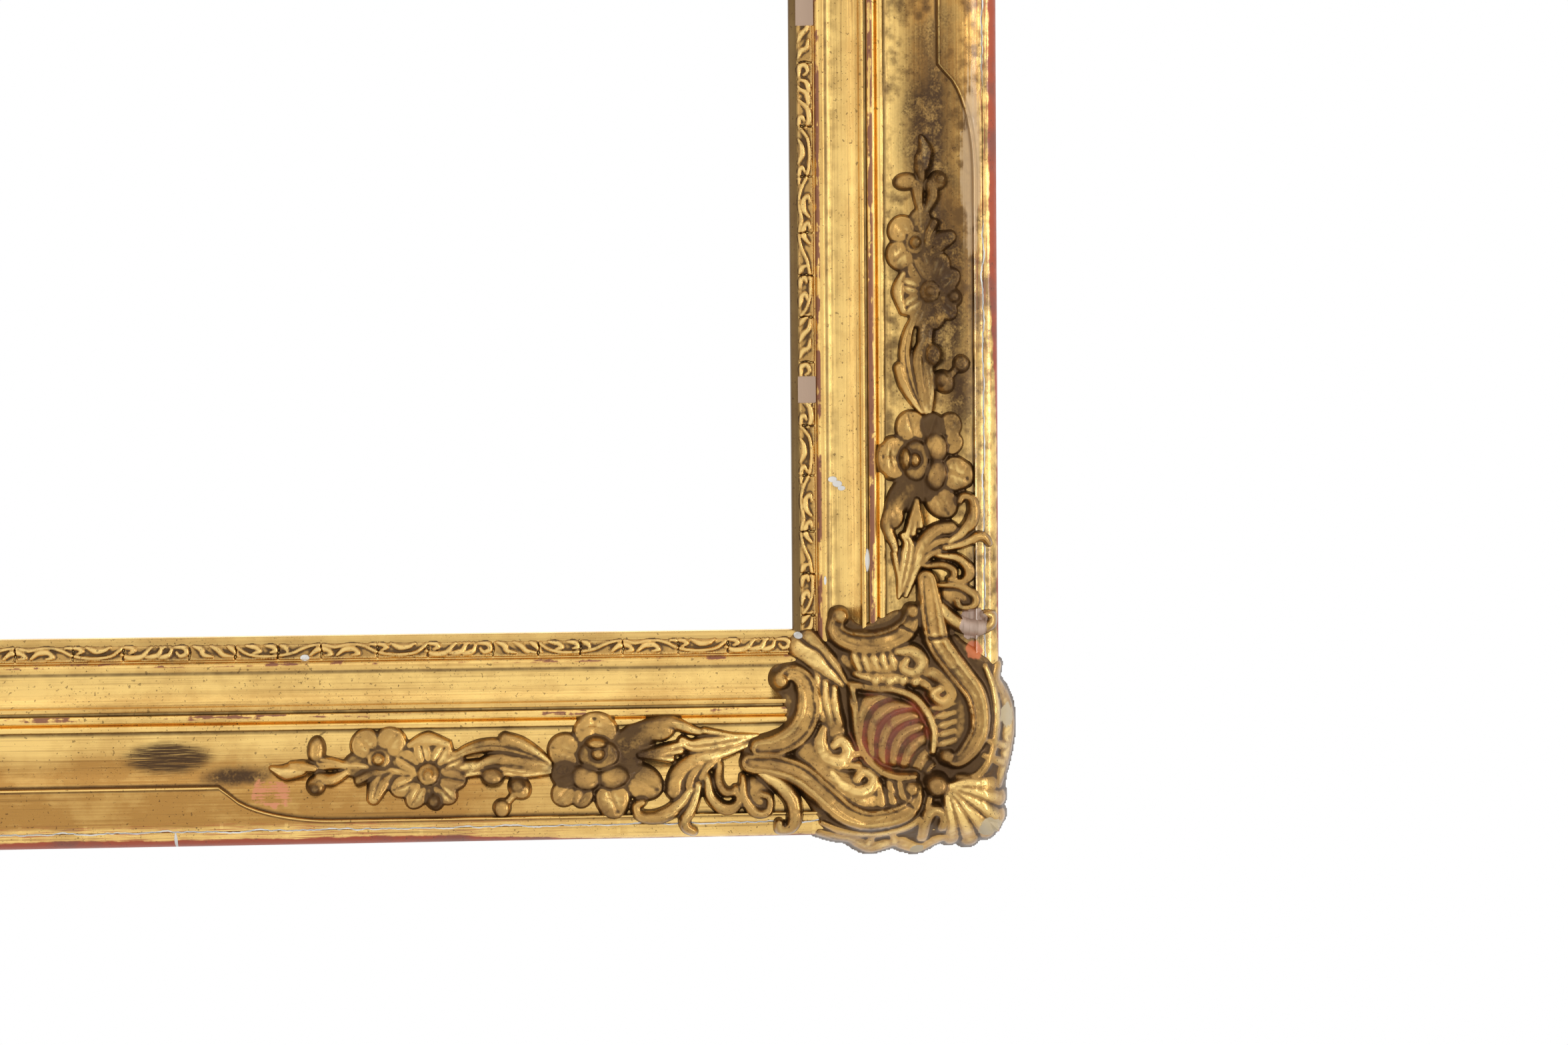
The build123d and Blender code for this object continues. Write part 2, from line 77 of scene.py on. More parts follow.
def arc(start, middle, end, count):
    """Points on the arc through three points, without its start."""
    (ax, ay), (bx, by), (cx, cy) = start, middle, end
    twice = 2 * (ax * (by - cy) + bx * (cy - ay) + cx * (ay - by))
    a_square = ax * ax + ay * ay
    b_square = bx * bx + by * by
    c_square = cx * cx + cy * cy
    hub_x = (a_square * (by - cy) + b_square * (cy - ay) + c_square * (ay - by)) / twice
    hub_y = (a_square * (cx - bx) + b_square * (ax - cx) + c_square * (bx - ax)) / twice
    radius = math.hypot(ax - hub_x, ay - hub_y)
    first = math.atan2(ay - hub_y, ax - hub_x)
    swing = [math.atan2(y - hub_y, x - hub_x) - first for x, y in (middle, end)]
    to_middle, to_end = [angle % math.tau for angle in swing]
    if to_middle > to_end:
        to_end -= math.tau
    angles = [first + to_end * (k + 1) / count for k in range(count)]
    return [(hub_x + radius * math.cos(a), hub_y + radius * math.sin(a)) for a in angles]


INNER_MEMBERS = [
    (0.0, REBATE_DEPTH),
    (0.0, 24.6),
    (0.5, 25.2),
    STRIP_BED_START,
    STRIP_BED_END,
    *arc(STRIP_BED_END, (14.9, 31.8), COVE_START, 9),
    *arc(COVE_START, (27.55, 32.4), (36.3, 37.98), 12),
    (36.4, 38.9),
    (36.8, 39.3),
    (38.4, 39.3),
    (38.8, 38.9),
    (39.0, 37.4),
    (40.0, 37.4),
    *arc((40.2, 37.98), (42.9, 39.97), (45.4, 37.7), 10),
    *arc((45.6, 37.9), (47.5, 39.98), HOLLOW_START, 7),
]
BED_LINE = np.array(
    [HOLLOW_START]
    + arc(HOLLOW_START, (63.4, 40.18), HOLLOW_END, 24)
    + arc(HOLLOW_END, (87.5, 51.8), OGEE_END, 20)
    + arc(OGEE_END, (106.1, 48.98), OUTER_EDGE, 12)
)
BAND_LINE = np.array(
    [BAND_START]
    + arc(BAND_START, (87.0, 55.26), BAND_SHOULDER, 20)
    + arc(BAND_SHOULDER, (106.9, 51.2), BAND_OUTER, 14)
)


def bed_height(station):
    return np.interp(station, BED_LINE[:, 0], BED_LINE[:, 1])


def band_height(station):
    return np.interp(station, BAND_LINE[:, 0], BAND_LINE[:, 1])


def band_edge(from_corner):
    """Station of the raised band's inner edge: it swings out towards each corner in one round sweep."""
    sweep = np.clip((BAND_TURN - from_corner) / (BAND_TURN - BAND_RUN), 0.0, 1.0)
    return BAND_MIDDLE + (BAND_CORNER - BAND_MIDDLE) * math.sqrt(1.0 - (1.0 - sweep) ** 2)


def at_side(side, along, station, height):
    """A point on one rail: along it, outward from the sight edge, and above the back."""
    if side == "bottom":
        spot = (along, -height, -SIGHT_Z - station)
    elif side == "top":
        spot = (-along, -height, SIGHT_Z + station)
    elif side == "right":
        spot = (SIGHT_X + station, -height, along)
    else:
        spot = (-SIGHT_X - station, -height, -along)
    return [value * MM for value in spot]


def half_sight(side):
    return SIGHT_X if side in ("bottom", "top") else SIGHT_Z


def sheet(columns, rows, *layers):
    """A flat grid, its float layers, and each of its points with its column and row."""
    shape = bmesh.new()
    bmesh.ops.create_grid(shape, x_segments=columns - 1, y_segments=rows - 1, size=0.5)
    made = [shape.verts.layers.float.new(name) for name in layers]
    cells = []
    for vert in shape.verts:
        column = round((vert.co.x + 0.5) * (columns - 1))
        row = round((vert.co.y + 0.5) * (rows - 1))
        cells.append((vert, column, row))
    return shape, made, cells


def open_edges(shape):
    return [edge for edge in shape.edges if edge.is_boundary]


def close_back(shape, back):
    """Smooths a front, draws its open rim back to a flat foot and closes that."""
    for face in shape.faces:
        face.smooth = True
    skirt = bmesh.ops.extrude_edge_only(shape, edges=open_edges(shape))["geom"]
    for part in skirt:
        if isinstance(part, bmesh.types.BMVert):
            part.co.y = -back * MM
    bmesh.ops.holes_fill(shape, edges=open_edges(shape), sides=0)


def finished(name, shape, materials, slot, *nodes, sharp):
    """Turns a bmesh into a piece of the frame that stands for its CAD nodes."""
    mesh = bpy.data.meshes.new(name)
    shape.to_mesh(mesh)
    shape.free()
    for material in materials:
        mesh.materials.append(material)
    mesh.set_sharp_from_angle(angle=math.radians(sharp))
    piece = bpy.data.objects.new(name, mesh)
    bpy.context.collection.objects.link(piece)
    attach(piece, "frame")
    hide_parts(*nodes)


# Width over which a finish changes from one rail to the next, in metres
MITRE_BLEND = 0.001


class Tone:
    """A number that varies over a surface; arithmetic on it adds Math nodes."""

    def __init__(self, paint, socket):
        self.paint = paint
        self.socket = socket

    def math(self, operation, first, second=0.0):
        return self.paint.node("ShaderNodeMath", {"operation": operation}, {0: first, 1: second})

    def __add__(self, other):
        return self.math("ADD", self, other)

    def __sub__(self, other):
        return self.math("SUBTRACT", self, other)

    def __mul__(self, other):
        return self.math("MULTIPLY", self, other)

    def __truediv__(self, other):
        return self.math("DIVIDE", self, other)

    def __radd__(self, other):
        return self.math("ADD", other, self)

    def __rsub__(self, other):
        return self.math("SUBTRACT", other, self)

    def __rmul__(self, other):
        return self.math("MULTIPLY", other, self)

    def __abs__(self):
        return self.math("ABSOLUTE", self)

    def lowest(self, other):
        return self.math("MINIMUM", self, other)

    def highest(self, other):
        return self.math("MAXIMUM", self, other)

    def modulo(self, other):
        return self.math("FLOORED_MODULO", self, other)

    def between(self, start, end):
        """0 below start and 1 above end, with a soft change between; start may be the larger."""
        sockets = {"Value": self, "From Min": start, "From Max": end}
        return self.paint.node("ShaderNodeMapRange", {"interpolation_type": "SMOOTHSTEP"}, sockets)

    def within(self, start, full, fade, end):
        """1 from full to fade, with soft changes from start and to end."""
        return self.between(start, full) * self.between(end, fade)


def strongest(tones):
    """The highest of several tones at each place."""
    made = tones[0]
    for tone in tones[1:]:
        made = made.highest(tone)
    return made


class Paint:
    """A procedural material and the few steps that every finish here is mixed from."""

    def __init__(self, name):
        self.material = bpy.data.materials.new(name)
        self.material.use_nodes = True
        self.tree = self.material.node_tree
        self.tree.nodes.clear()
        self.place = self.node("ShaderNodeTexCoord", output="Object")
        axes = {"Vector": self.place}
        self.x, self.y, self.z = [self.node("ShaderNodeSeparateXYZ", {}, axes, axis) for axis in "XYZ"]

    def node(self, kind, settings=None, sockets=None, output=0):
        made = self.tree.nodes.new(kind)
        for key, value in (settings or {}).items():
            setattr(made, key, value)
        for key, value in (sockets or {}).items():
            if isinstance(value, Tone):
                self.tree.links.new(value.socket, made.inputs[key])
            else:
                made.inputs[key].default_value = value
        return Tone(self, made.outputs[output]) if len(made.outputs) else None

    def noise(self, scale, detail=3.0, vector=None, roughness=0.55):
        sockets = {"Vector": vector or self.place, "Scale": scale, "Detail": detail, "Roughness": roughness}
        return self.node("ShaderNodeTexNoise", {}, sockets)

    def vector(self, x, y, z):
        return self.node("ShaderNodeCombineXYZ", {}, {"X": x, "Y": y, "Z": z})

    def mix(self, factor, first, second):
        sockets = {"Factor": factor, 6: first, 7: second}
        return self.node("ShaderNodeMix", {"data_type": "RGBA"}, sockets, 2)

    def attribute(self, name):
        return self.node("ShaderNodeAttribute", {"attribute_name": name}, output="Fac")

    def bump(self, height, strength, distance):
        sockets = {"Height": height, "Strength": strength, "Distance": distance}
        return self.node("ShaderNodeBump", {}, sockets)

    def spot(self, patch, ragged, soft=0.15, every_corner=False):
        """A ragged oval near the lower right corner, or near all four, placed from the outer edges."""
        run, rise, half_run, half_rise = patch
        x = abs(self.x) if every_corner else self.x
        z = 0.0 - abs(self.z) if every_corner else self.z
        across = (x - (OUTER_X - run) * MM) / (half_run * MM)
        upward = (z - (rise - OUTER_Z) * MM) / (half_rise * MM)
        away = self.node("ShaderNodeMath", {"operation": "SQRT"}, {0: across * across + upward * upward})
        return (away + ragged * 0.8).between(1.0 + soft, 1.0 - soft)

    def spots(self, patches, ragged, soft):
        """Several such ovals together."""
        return strongest([self.spot(patch, ragged, soft) for patch in patches])

    def rail_axes(self):
        """Distances out from the sight edges, 1 on the uprights, and the way along each rail."""
        out_x = abs(self.x) - SIGHT_X * MM
        out_z = abs(self.z) - SIGHT_Z * MM
        upright = (out_x - out_z).between(-MITRE_BLEND, MITRE_BLEND)
        along = self.x + upright * (self.z - self.x)
        return out_x, out_z, upright, along

    def shade(self, colour, **sockets):
        named = {key.replace("_", " ").title(): value for key, value in sockets.items()}
        surface = self.node("ShaderNodeBsdfPrincipled", {}, {"Base Color": colour, **named})
        self.node("ShaderNodeOutputMaterial", {}, {"Surface": surface})
        return self.material


# Finishes, as linear colours
GOLD_BRIGHT = (0.93, 0.625, 0.205, 1)
GOLD_DEEP = (0.46, 0.235, 0.058, 1)
GOLD_CAST = (0.64, 0.37, 0.105, 1)
GOLD_BROWN = (0.30, 0.165, 0.052, 1)
# Dark brown of patina, also laid as painted shade in creases and low places
DARK_PATINA_AND_SHADE = (0.075, 0.037, 0.013, 1)
BOLE = (0.45, 0.07, 0.016, 1)
BOLE_DARK = (0.24, 0.075, 0.045, 1)
GESSO = (0.90, 0.88, 0.84, 1)
CREAM_FILL = (0.62, 0.49, 0.29, 1)
BARE_BED = (0.55, 0.38, 0.265, 1)
SALMON = (0.80, 0.31, 0.14, 1)
RUBBED_TAN = (0.60, 0.41, 0.22, 1)
BROKEN_WOOD = (0.60, 0.43, 0.33, 1)
STAIN_RED = (0.74, 0.20, 0.06, 1)
PINE = (0.42, 0.27, 0.14, 1)
PINE_DARK = (0.20, 0.115, 0.055, 1)
OCHRE = (0.46, 0.27, 0.07, 1)
BEECH = (0.36, 0.19, 0.09, 1)
STEEL = (0.40, 0.39, 0.37, 1)
STEEL_TARNISH = (0.16, 0.13, 0.10, 1)
BRASS = (0.62, 0.43, 0.15, 1)
BRASS_TARNISH = (0.24, 0.15, 0.06, 1)

# Damage near the lower right corner as (run, rise, half run, half rise), counted from the outer edges
SMUDGE = (446, 47, 22, 8)
GRIME = (
    (36, 385, 12, 45), (30, 300, 14, 60), (22, 240, 9, 24),
    (198, 46, 13, 11), (236, 38, 8, 6), (410, 37, 16, 4),
)
SALMON_PATCH = (391, 28, 9, 6)
TAN_PATCH = (15, 362, 5, 44)
GESSO_CHIPS = (
    (88.5, 192, 2.6, 1.7), (86, 189.6, 2.8, 2.0), (83.8, 187.2, 2.2, 1.4), (70.6, 148, 1.2, 6.0),
    (374, 98.6, 2.4, 1.7), (107.5, 107, 2.4, 1.8), (93, 137, 0.7, 2.4), (441, 4, 0.8, 5.0),
)
CREAM_FILLS = ((-4, 63, 5, 7), (6, 4, 6, 5), (44, -10, 3, 2.4))
BREAK_PATCH = (16, 113, 8, 9)
BREAK_STAIN = (15, 101, 4, 6)
SHELL_STAIN = (59, 58, 20, 19)

# Laps of the leaf on the outer band: the first of each row, their spacing and their width
LEAF_LAPS = (206.0, 172.0)
LAP_REPEAT = 105.0
LAP_WIDTH = 2.0

# Members that the finish picks out, as (start, full, fade, end) outward from the sight edge
OVOLO_QUIRK = (12.8, 13.3, 15.0, 15.8)
COVE_NEAR_SIDE = (18.0, 19.0, 19.0, 29.0)
# Outer part of the cove, darkened in the colour as painted shade
COVE_SHADED_SIDE = (25.0, 33.0, 38.0, 39.0)
TORUS_CROWN = (40.4, 41.0, 43.0, 43.8)
OUTER_ROLL = (90.0, 94.0, 104.0, 106.0)
CREASES = ((48.6, 49.6, 50.0, 52.0), (38.6, 39.0, 40.2, 40.8), (17.4, 18.6, 19.0, 20.6))


def gilding(name, on_rail):
    """Water gilding over red bole and gesso, rubbed on the high places and dark in the low ones; bright
    crowns and fillets are partly painted highlight, and dark creases, low places and the cove's outer part
    partly painted shade.
    """
    paint = Paint(name)
    out_x, out_z, upright, along = paint.rail_axes()
    station = out_x.highest(out_z) / MM
    from_corner = RAIL_WIDTH - out_x.lowest(out_z) / MM
    wear_highlight_and_shade = paint.attribute("wear_highlight_and_shade")

    broad = paint.noise(6.0, 3.0)
    cloud = paint.noise(34.0, 5.0)
    mottle = paint.noise(150.0, 4.0)
    grit = paint.noise(850.0, 2.0)
    streak = paint.noise(1.0, 4.0, paint.vector(along * 9.0, station * 0.9, paint.y * 900.0))
    hem = paint.noise(1.0, 5.0, paint.vector(along * 26.0, station * 0.35, 0.0))
    dry = paint.noise(1.0, 4.0, paint.vector(along * 40.0, station * 2.4, 0.0))
    ragged = cloud * 4.5 + mottle * 2.5 - 3.5

    tone = (cloud * 0.6 + broad * 0.5 + mottle * 0.25).between(0.50, 0.84)
    dust = paint.noise(420.0, 2.0)
    speck = (grit.between(0.64, 0.72) * cloud.between(0.36, 0.56)).highest(dust.between(0.66, 0.72) * 0.7)

    if on_rail:
        far = from_corner.between(190.0, 330.0)
        dull = station.between(19.5, 18.0) * 0.30 + station.between(36.0, 37.0) * 0.10
        # Painted shade: the outer part of the cove is dulled towards deep gold
        dull = dull + station.within(*COVE_SHADED_SIDE) * 0.32
        dull = dull + (station.between(54.0, 70.0) - station.between(97.0, 100.0)) * (far * 0.60 + 0.15)
        dull = dull + (tone - 0.35) * 0.5 + (streak - 0.5)
        gold = paint.mix(dull, GOLD_BRIGHT, GOLD_DEEP)
        for lap in LEAF_LAPS:
            lapped = (from_corner - lap).modulo(LAP_REPEAT).between(LAP_WIDTH, LAP_WIDTH * 0.8)
            lapped = lapped * station.between(96.0, 99.0) * hem.between(0.42, 0.5) * 0.7
            gold = paint.mix(lapped, gold, GOLD_BRIGHT)
        # Painted highlight: the band's fillet is turned bright gold
        gold = paint.mix(wear_highlight_and_shade.between(0.1, 0.8) * 0.8, gold, GOLD_BRIGHT)

        dragged = streak.between(0.58, 0.75) * 0.35
        dusty = dry.between(0.60, 0.72) * station.between(49.0, 60.0) * 0.4
        creases = strongest([station.within(*crease) for crease in CREASES])
        margin = station.between(4.4, 3.6) * (upright * 0.6 + 0.25)
        clouded = (mottle * 0.6 + cloud * 0.7).between(0.52, 0.80) * station.between(47.0, 50.0)
        shaded = (streak * 0.8 + mottle * 0.5).between(0.50, 0.85) * station.within(*COVE_NEAR_SIDE)
        low = strongest([
            dragged + dusty,
            creases * (0.45 + mottle * 0.5),
            margin,
            clouded * upright * 0.8,
            shaded * (upright * 0.5 + 0.2),
            # painted shade in the corner under the band's fillet
            wear_highlight_and_shade.between(-0.1, -0.8) * (0.55 + mottle * 0.5),
        ])

        edge = station + (ragged + 0.3) * 0.8 + from_corner.between(200.0, 330.0) * 4.0
        edge = (edge - 3.2 + upright * 0.6).between(105.8, 106.8)
        thin = hem + mottle * 0.6 + upright * 0.14
        torus = station.within(*TORUS_CROWN) * thin.between(0.84, 0.92)
        quirk = station.within(*OVOLO_QUIRK) * thin.between(0.86, 0.94)
        worn_through = torus.highest(quirk) * 0.9
        brushed = dry.between(0.47, 0.40) * station.between(95.0, 99.0) * far * 0.8
        rubbed = strongest([edge, worn_through, brushed])
        burnish = station.within(*OUTER_ROLL) * upright * (broad + cloud).between(0.85, 1.05)
    else:
        gold = paint.mix(tone, GOLD_CAST, GOLD_BROWN)
        # Painted highlight, with some rubbed gilding: crowns and raised edges turn bright gold
        gold = paint.mix((wear_highlight_and_shade + mottle * 0.5 + cloud * 0.5 - 0.5).between(0.05, 0.60), gold, GOLD_BRIGHT)
        # Painted shade in creases and darkened places, laid in as dark patina
        low = (wear_highlight_and_shade * -1.0 + mottle * 0.6 - 0.30).between(0.10, 0.60) * 0.92
        low = low.highest(mottle.between(0.52, 0.72) * cloud.between(0.44, 0.62) * 0.7)
        worn_through = 0.0
        rubbed = (wear_highlight_and_shade + cloud * 1.2 - 0.6).between(0.55, 0.95) * 0.25
        rubbed = rubbed.highest(paint.spot(SHELL_STAIN, ragged * 0.6, 0.3, True) * (0.15 + low * 0.6))
        burnish = wear_highlight_and_shade.between(0.1, 0.5) * 0.9

    sooty = (mottle + grit * 0.5 + cloud * 0.4).between(0.62, 1.02)
    low = low.highest(paint.spots(GRIME, ragged * 0.7, 0.6) * (0.40 + sooty * 0.6))
    low = low.highest(paint.spot(SMUDGE, dry * 2.0 - 1.0, 0.25) * dry.between(0.36, 0.46)).lowest(1.0)
    bare = paint.spots(GESSO_CHIPS, ragged * 0.2, 0.06)
    if on_rail:
        wander = paint.noise(1.0, 3.0, paint.vector(along * 55.0, 0.0, upright * 9.0))
        away = abs(station - STRIP_JOINT + (wander - 0.5) * 6.0)
        bare = bare.highest(away.between(0.50, 0.30) * broad.between(0.40, 0.46))
    flaked = (mottle + streak).between(1.12, 0.98)
    salmon = paint.spot(SALMON_PATCH, ragged * 0.7, 0.1) * flaked
    tan = paint.spot(TAN_PATCH, ragged * 0.5 + streak * 1.6 - 0.8, 0.2) * 0.8
    broken = paint.spot(BREAK_PATCH, ragged * 0.4, 0.04)
    grain = paint.noise(1.0, 3.0, paint.vector(paint.x * 900.0, paint.y * 60.0, paint.z * 60.0))
    stain = paint.spot(BREAK_STAIN, ragged * 0.8)
    filled = paint.spots(CREAM_FILLS, ragged * 0.5, 0.08)
    loss = paint.attribute("loss")

    bole = paint.mix((cloud.between(0.48, 0.66) * 0.8).highest(worn_through), BOLE, BOLE_DARK)
    splinters = paint.mix(grain.between(0.45, 0.75) * 0.6, BROKEN_WOOD, PINE_DARK)
    covers = [
        (low, DARK_PATINA_AND_SHADE), (rubbed, bole), (speck * 0.85, DARK_PATINA_AND_SHADE), (tan, RUBBED_TAN), (salmon, SALMON),
        (broken, splinters), (stain * 0.9, STAIN_RED), (filled, CREAM_FILL), (loss, BARE_BED),
        (bare, GESSO),
    ]
    colour = gold
    for share, cover in covers:
        colour = paint.mix(share, colour, cover)
    lost = strongest([rubbed * 0.85, bare, salmon, broken, stain, filled, loss, tan * 0.6])
    metal_share = (0.96 - low * 0.16) * (1.0 - lost)
    rough = 0.22 + cloud * 0.10 + low * 0.18 + lost * 0.22 - burnish * 0.12
    relief = cloud * 0.5 + mottle * 0.22 + grit * 0.05 + streak * 0.10 - bare * 0.5 - broken * 0.4
    normal = paint.bump(relief, 0.6, 0.0016)
    varnish = {"coat_weight": 0.12 + burnish * 0.5, "coat_roughness": 0.08}
    return paint.shade(colour, metallic=metal_share, roughness=rough, normal=normal, **varnish)


def wood(name, pale, dark, lengthways):
    """Bare wood with its grain along the rails, or across a key."""
    paint = Paint(name)
    out_x, out_z, _, along = paint.rail_axes()
    across = out_x.highest(out_z)
    grain = paint.noise(1.0, 5.0, paint.vector(along * lengthways, across * 420.0, paint.y * 420.0))
    stain = paint.noise(14.0, 4.0)
    shade = (grain * 0.75 + stain * 0.45).between(0.42, 0.82)
    colour = paint.mix(shade, pale, dark)
    return paint.shade(colour, roughness=0.72, normal=paint.bump(grain, 0.35, 0.0006))


def metal(name, colour, tarnish, roughness):
    paint = Paint(name)
    dull = paint.noise(160.0, 4.0)
    mixed = paint.mix(dull.between(0.42, 0.72), colour, tarnish)
    return paint.shade(mixed, metallic=0.95, roughness=dull * 0.25 + roughness)


rail_gilding = gilding("rail_gilding", True)
cast_gilding = gilding("cast_gilding", False)
bare_pine = wood("bare_pine", PINE, PINE_DARK, 9.0)
side_wash = wood("side_wash", OCHRE, PINE_DARK, 20.0)
key_wood = wood("key_wood", BEECH, PINE_DARK, 30.0)
aged_steel = metal("aged_steel", STEEL, STEEL_TARNISH, 0.32)
aged_brass = metal("aged_brass", BRASS, BRASS_TARNISH, 0.28)


# Rails and the strips glued along their outsides, with closer stations where the band turns
# Fillet along the raised band's edge, as (out from the edge, drop, wear value: painted shade where
# negative, painted highlight where positive)
NOSING = (
    (0.15, 2.2, -1.0), (0.4, 0.2, 0.0), (0.8, -0.3, 0.9), (1.4, -0.3, 0.7),
    (1.8, 0.3, -0.6), (2.4, 0.4, -0.5), (3.0, 0.0, 0.0),
)
BED_STEPS = 19
BAND_STEPS = 13
NEAR_PITCH = 4.0
NEAR_END = BAND_TURN + 15.0
MIDDLE_PITCH = 9.0
MIDDLE_START = BAND_TURN + 20.0
CRACK_HALF = 0.05
CRACK_LIP = 0.25
CRACK_DEPTH = 0.35


def rail_front(edge):
    """Front of a rail's core, from the sight edge to the crack along its outer strip."""
    points = list(INNER_MEMBERS)
    for station in np.linspace(HOLLOW_START[0], edge, BED_STEPS)[1:]:
        points.append((station, bed_height(station)))
    for out, down, _ in NOSING:
        points.append((edge + out, band_height(edge + out) - down))
    last = STRIP_JOINT - CRACK_LIP
    for station in np.linspace(edge + NOSING[-1][0], last, BAND_STEPS)[1:]:
        points.append((station, band_height(station)))
    points.append((STRIP_JOINT - CRACK_HALF, band_height(last) - CRACK_DEPTH))
    return points


def fillet_highlight_and_shade(row):
    """Wear value of one row of a rail's front: painted shade in the corner under the fillet, a painted
    highlight along it.
    """
    past = row - len(INNER_MEMBERS) - BED_STEPS + 2
    if 0 < past <= len(NOSING):
        return NOSING[past - 1][2]
    return -0.8 if past == 0 else 0.0


def strip_front():
    first = STRIP_JOINT + CRACK_LIP
    points = [(STRIP_JOINT + CRACK_HALF, band_height(first) - CRACK_DEPTH)]
    for station in np.linspace(first, BAND_SHOULDER[0] + 3.5, 2):
        points.append((station, band_height(station)))
    points += [tuple(spot) for spot in BAND_LINE if spot[0] > BAND_SHOULDER[0] + 4.0]
    return points


def bar(name, side, section, finish_at, wear_highlight_and_shade_at, materials, node):
    """Sweeps a section along one rail and mitres it at both ends."""
    half = half_sight(side)
    half_outer = half + RAIL_WIDTH
    near = np.arange(0.0, NEAR_END, NEAR_PITCH) - half_outer
    middle = np.arange(MIDDLE_START, half_outer, MIDDLE_PITCH) - half_outer
    stations = np.concatenate([near, middle])
    stations = np.concatenate([stations, -stations[::-1]]) / half_outer
    loops = []
    for share in stations:
        loop = section(band_edge(half_outer * (1.0 - abs(share))))
        loops.append(loop + loop[:1])
    shape, (wear_highlight_and_shade,), cells = sheet(len(stations), len(loops[0]), "wear_highlight_and_shade")
    rows = {}
    for vert, column, row in cells:
        rows[vert] = row
        vert[wear_highlight_and_shade] = wear_highlight_and_shade_at(row)
        station, height = loops[column][row]
        vert.co = at_side(side, stations[column] * (half + station), station, height)
    for face in shape.faces:
        face.smooth = True
        face.material_index = finish_at(min(rows[vert] for vert in face.verts))
    bmesh.ops.remove_doubles(shape, verts=shape.verts, dist=1e-6)
    for face in bmesh.ops.holes_fill(shape, edges=open_edges(shape), sides=0)["faces"]:
        face.material_index = len(materials) - 1
    bmesh.ops.recalc_face_normals(shape, faces=shape.faces)
    finished(name, shape, materials, "gilded_wood", node, sharp=50)


def rail_section(edge):
    back = [
        (STRIP_JOINT - CRACK_HALF, BACK_FACE),
        (REBATE_WIDTH, BACK_FACE),
        (REBATE_WIDTH, REBATE_DEPTH),
    ]
    return rail_front(edge) + back


def strip_section(edge):
    return strip_front() + [(SIDE_FOOT, BACK_FACE), (STRIP_JOINT + CRACK_HALF, BACK_FACE)]


rail_last = len(rail_front(BAND_CORNER)) - 1
strip_last = len(strip_front()) - 1
for side in SIDES:
    bar(
        f"rail_{side}_gilded", side, rail_section, lambda row: 0 if row < rail_last else 1, fillet_highlight_and_shade,
        [rail_gilding, bare_pine], f"rail_{side}",
    )
    bar(
        f"outer_strip_{side}_gilded", side, strip_section,
        lambda row: 0 if row < strip_last else 1 if row == strip_last else 2, lambda row: 0.0,
        [rail_gilding, side_wash, bare_pine], f"outer_strip_{side}",
    )


# Sections of the strokes that the ornament is drawn with: 1 on the crest and falling towards the edge
# Past its shoulder a section goes on down in a straight slope
SHOULDER = 0.92
SHOULDER_HEIGHT = 0.392
SHOULDER_SLOPE = 4.0


def rounded(ratio):
    far = np.abs(ratio)
    slope = SHOULDER_HEIGHT - (far - SHOULDER) * SHOULDER_SLOPE
    return np.where(far < SHOULDER, np.sqrt(np.maximum(1.0 - far**2, 0.0)), slope)


def leaf(ratio):
    vein = np.minimum(np.abs(ratio) / 0.3, 1.0)
    return rounded(ratio) * (0.7 + 0.3 * vein)


def scroll(ratio):
    """A moulded band: a high thin rim, a wide channel and a lower ridge."""
    rim = rounded((ratio + 0.80) / 0.24)
    ridge = 0.84 * rounded((ratio - 0.52) / 0.50)
    floor = 0.62 - np.maximum(np.abs(ratio) - 0.92, 0.0) * 5.0
    return np.maximum(np.maximum(rim, ridge), floor)


def curve(points, step=1.0):
    """Smooth run of points through a few given ones."""
    spots = np.array(points, dtype=float)
    if len(spots) < 3:
        spots = np.array([spots[0], spots.mean(axis=0), spots[-1]])
    padded = np.vstack([2 * spots[0] - spots[1], spots, 2 * spots[-1] - spots[-2]])
    made = []
    for k in range(1, len(padded) - 2):
        before, start, end, after = padded[k - 1 : k + 3]
        count = max(2, int(np.linalg.norm(end - start) / step))
        for t in np.arange(count) / count:
            bend = 2 * before - 5 * start + 4 * end - after
            twist = 3 * start - before - 3 * end + after
            made.append(0.5 * (2 * start + (end - before) * t + bend * t**2 + twist * t**3))
    made.append(spots[-1])
    return np.array(made)


def spread(values, count):
    values = np.atleast_1d(np.array(values, dtype=float))
    return np.interp(np.linspace(0, 1, count), np.linspace(0, 1, len(values)), values)


def blur(field, reach):
    """Soft mean of a field over about the given number of cells."""
    span = int(reach * 3) + 1
    weights = np.exp(-0.5 * (np.arange(-span, span + 1) / reach) ** 2)
    weights /= weights.sum()
    padded = np.pad(field, span, mode="edge")
    down = np.apply_along_axis(lambda line: np.convolve(line, weights, mode="valid"), 0, padded)
    return np.apply_along_axis(lambda line: np.convolve(line, weights, mode="valid"), 1, down)


def beside(run, rise, start, step):
    """Share of a step that each place lies beside, and its offsets from there."""
    share = ((run - start[0]) * step[0] + (rise - start[1]) * step[1]) / max(step @ step, 1e-9)
    share = np.clip(share, 0.0, 1.0)
    return share, run - start[0] - share * step[0], rise - start[1] - share * step[1]


# Where nothing is laid the ornament lies this far under its bed, and it is kept from a little above that
SUNK = -2.6
KEPT_ABOVE = 0.9
PLATE_CROWN = 0.4

# Unevenness of hand work, and how crowns and creases turn into the wear value: crowns brighter as rubbed
# gilding and painted highlight, creases darker as painted shade
WOBBLE = 0.09
SWELL = 0.22
SWELL_FULL = 4.0
CROWN_GAIN = 0.95
CROWN_START = 0.61
FINE_GAIN = 1.8
FINE_LIMITS = (-1.0, 0.22)


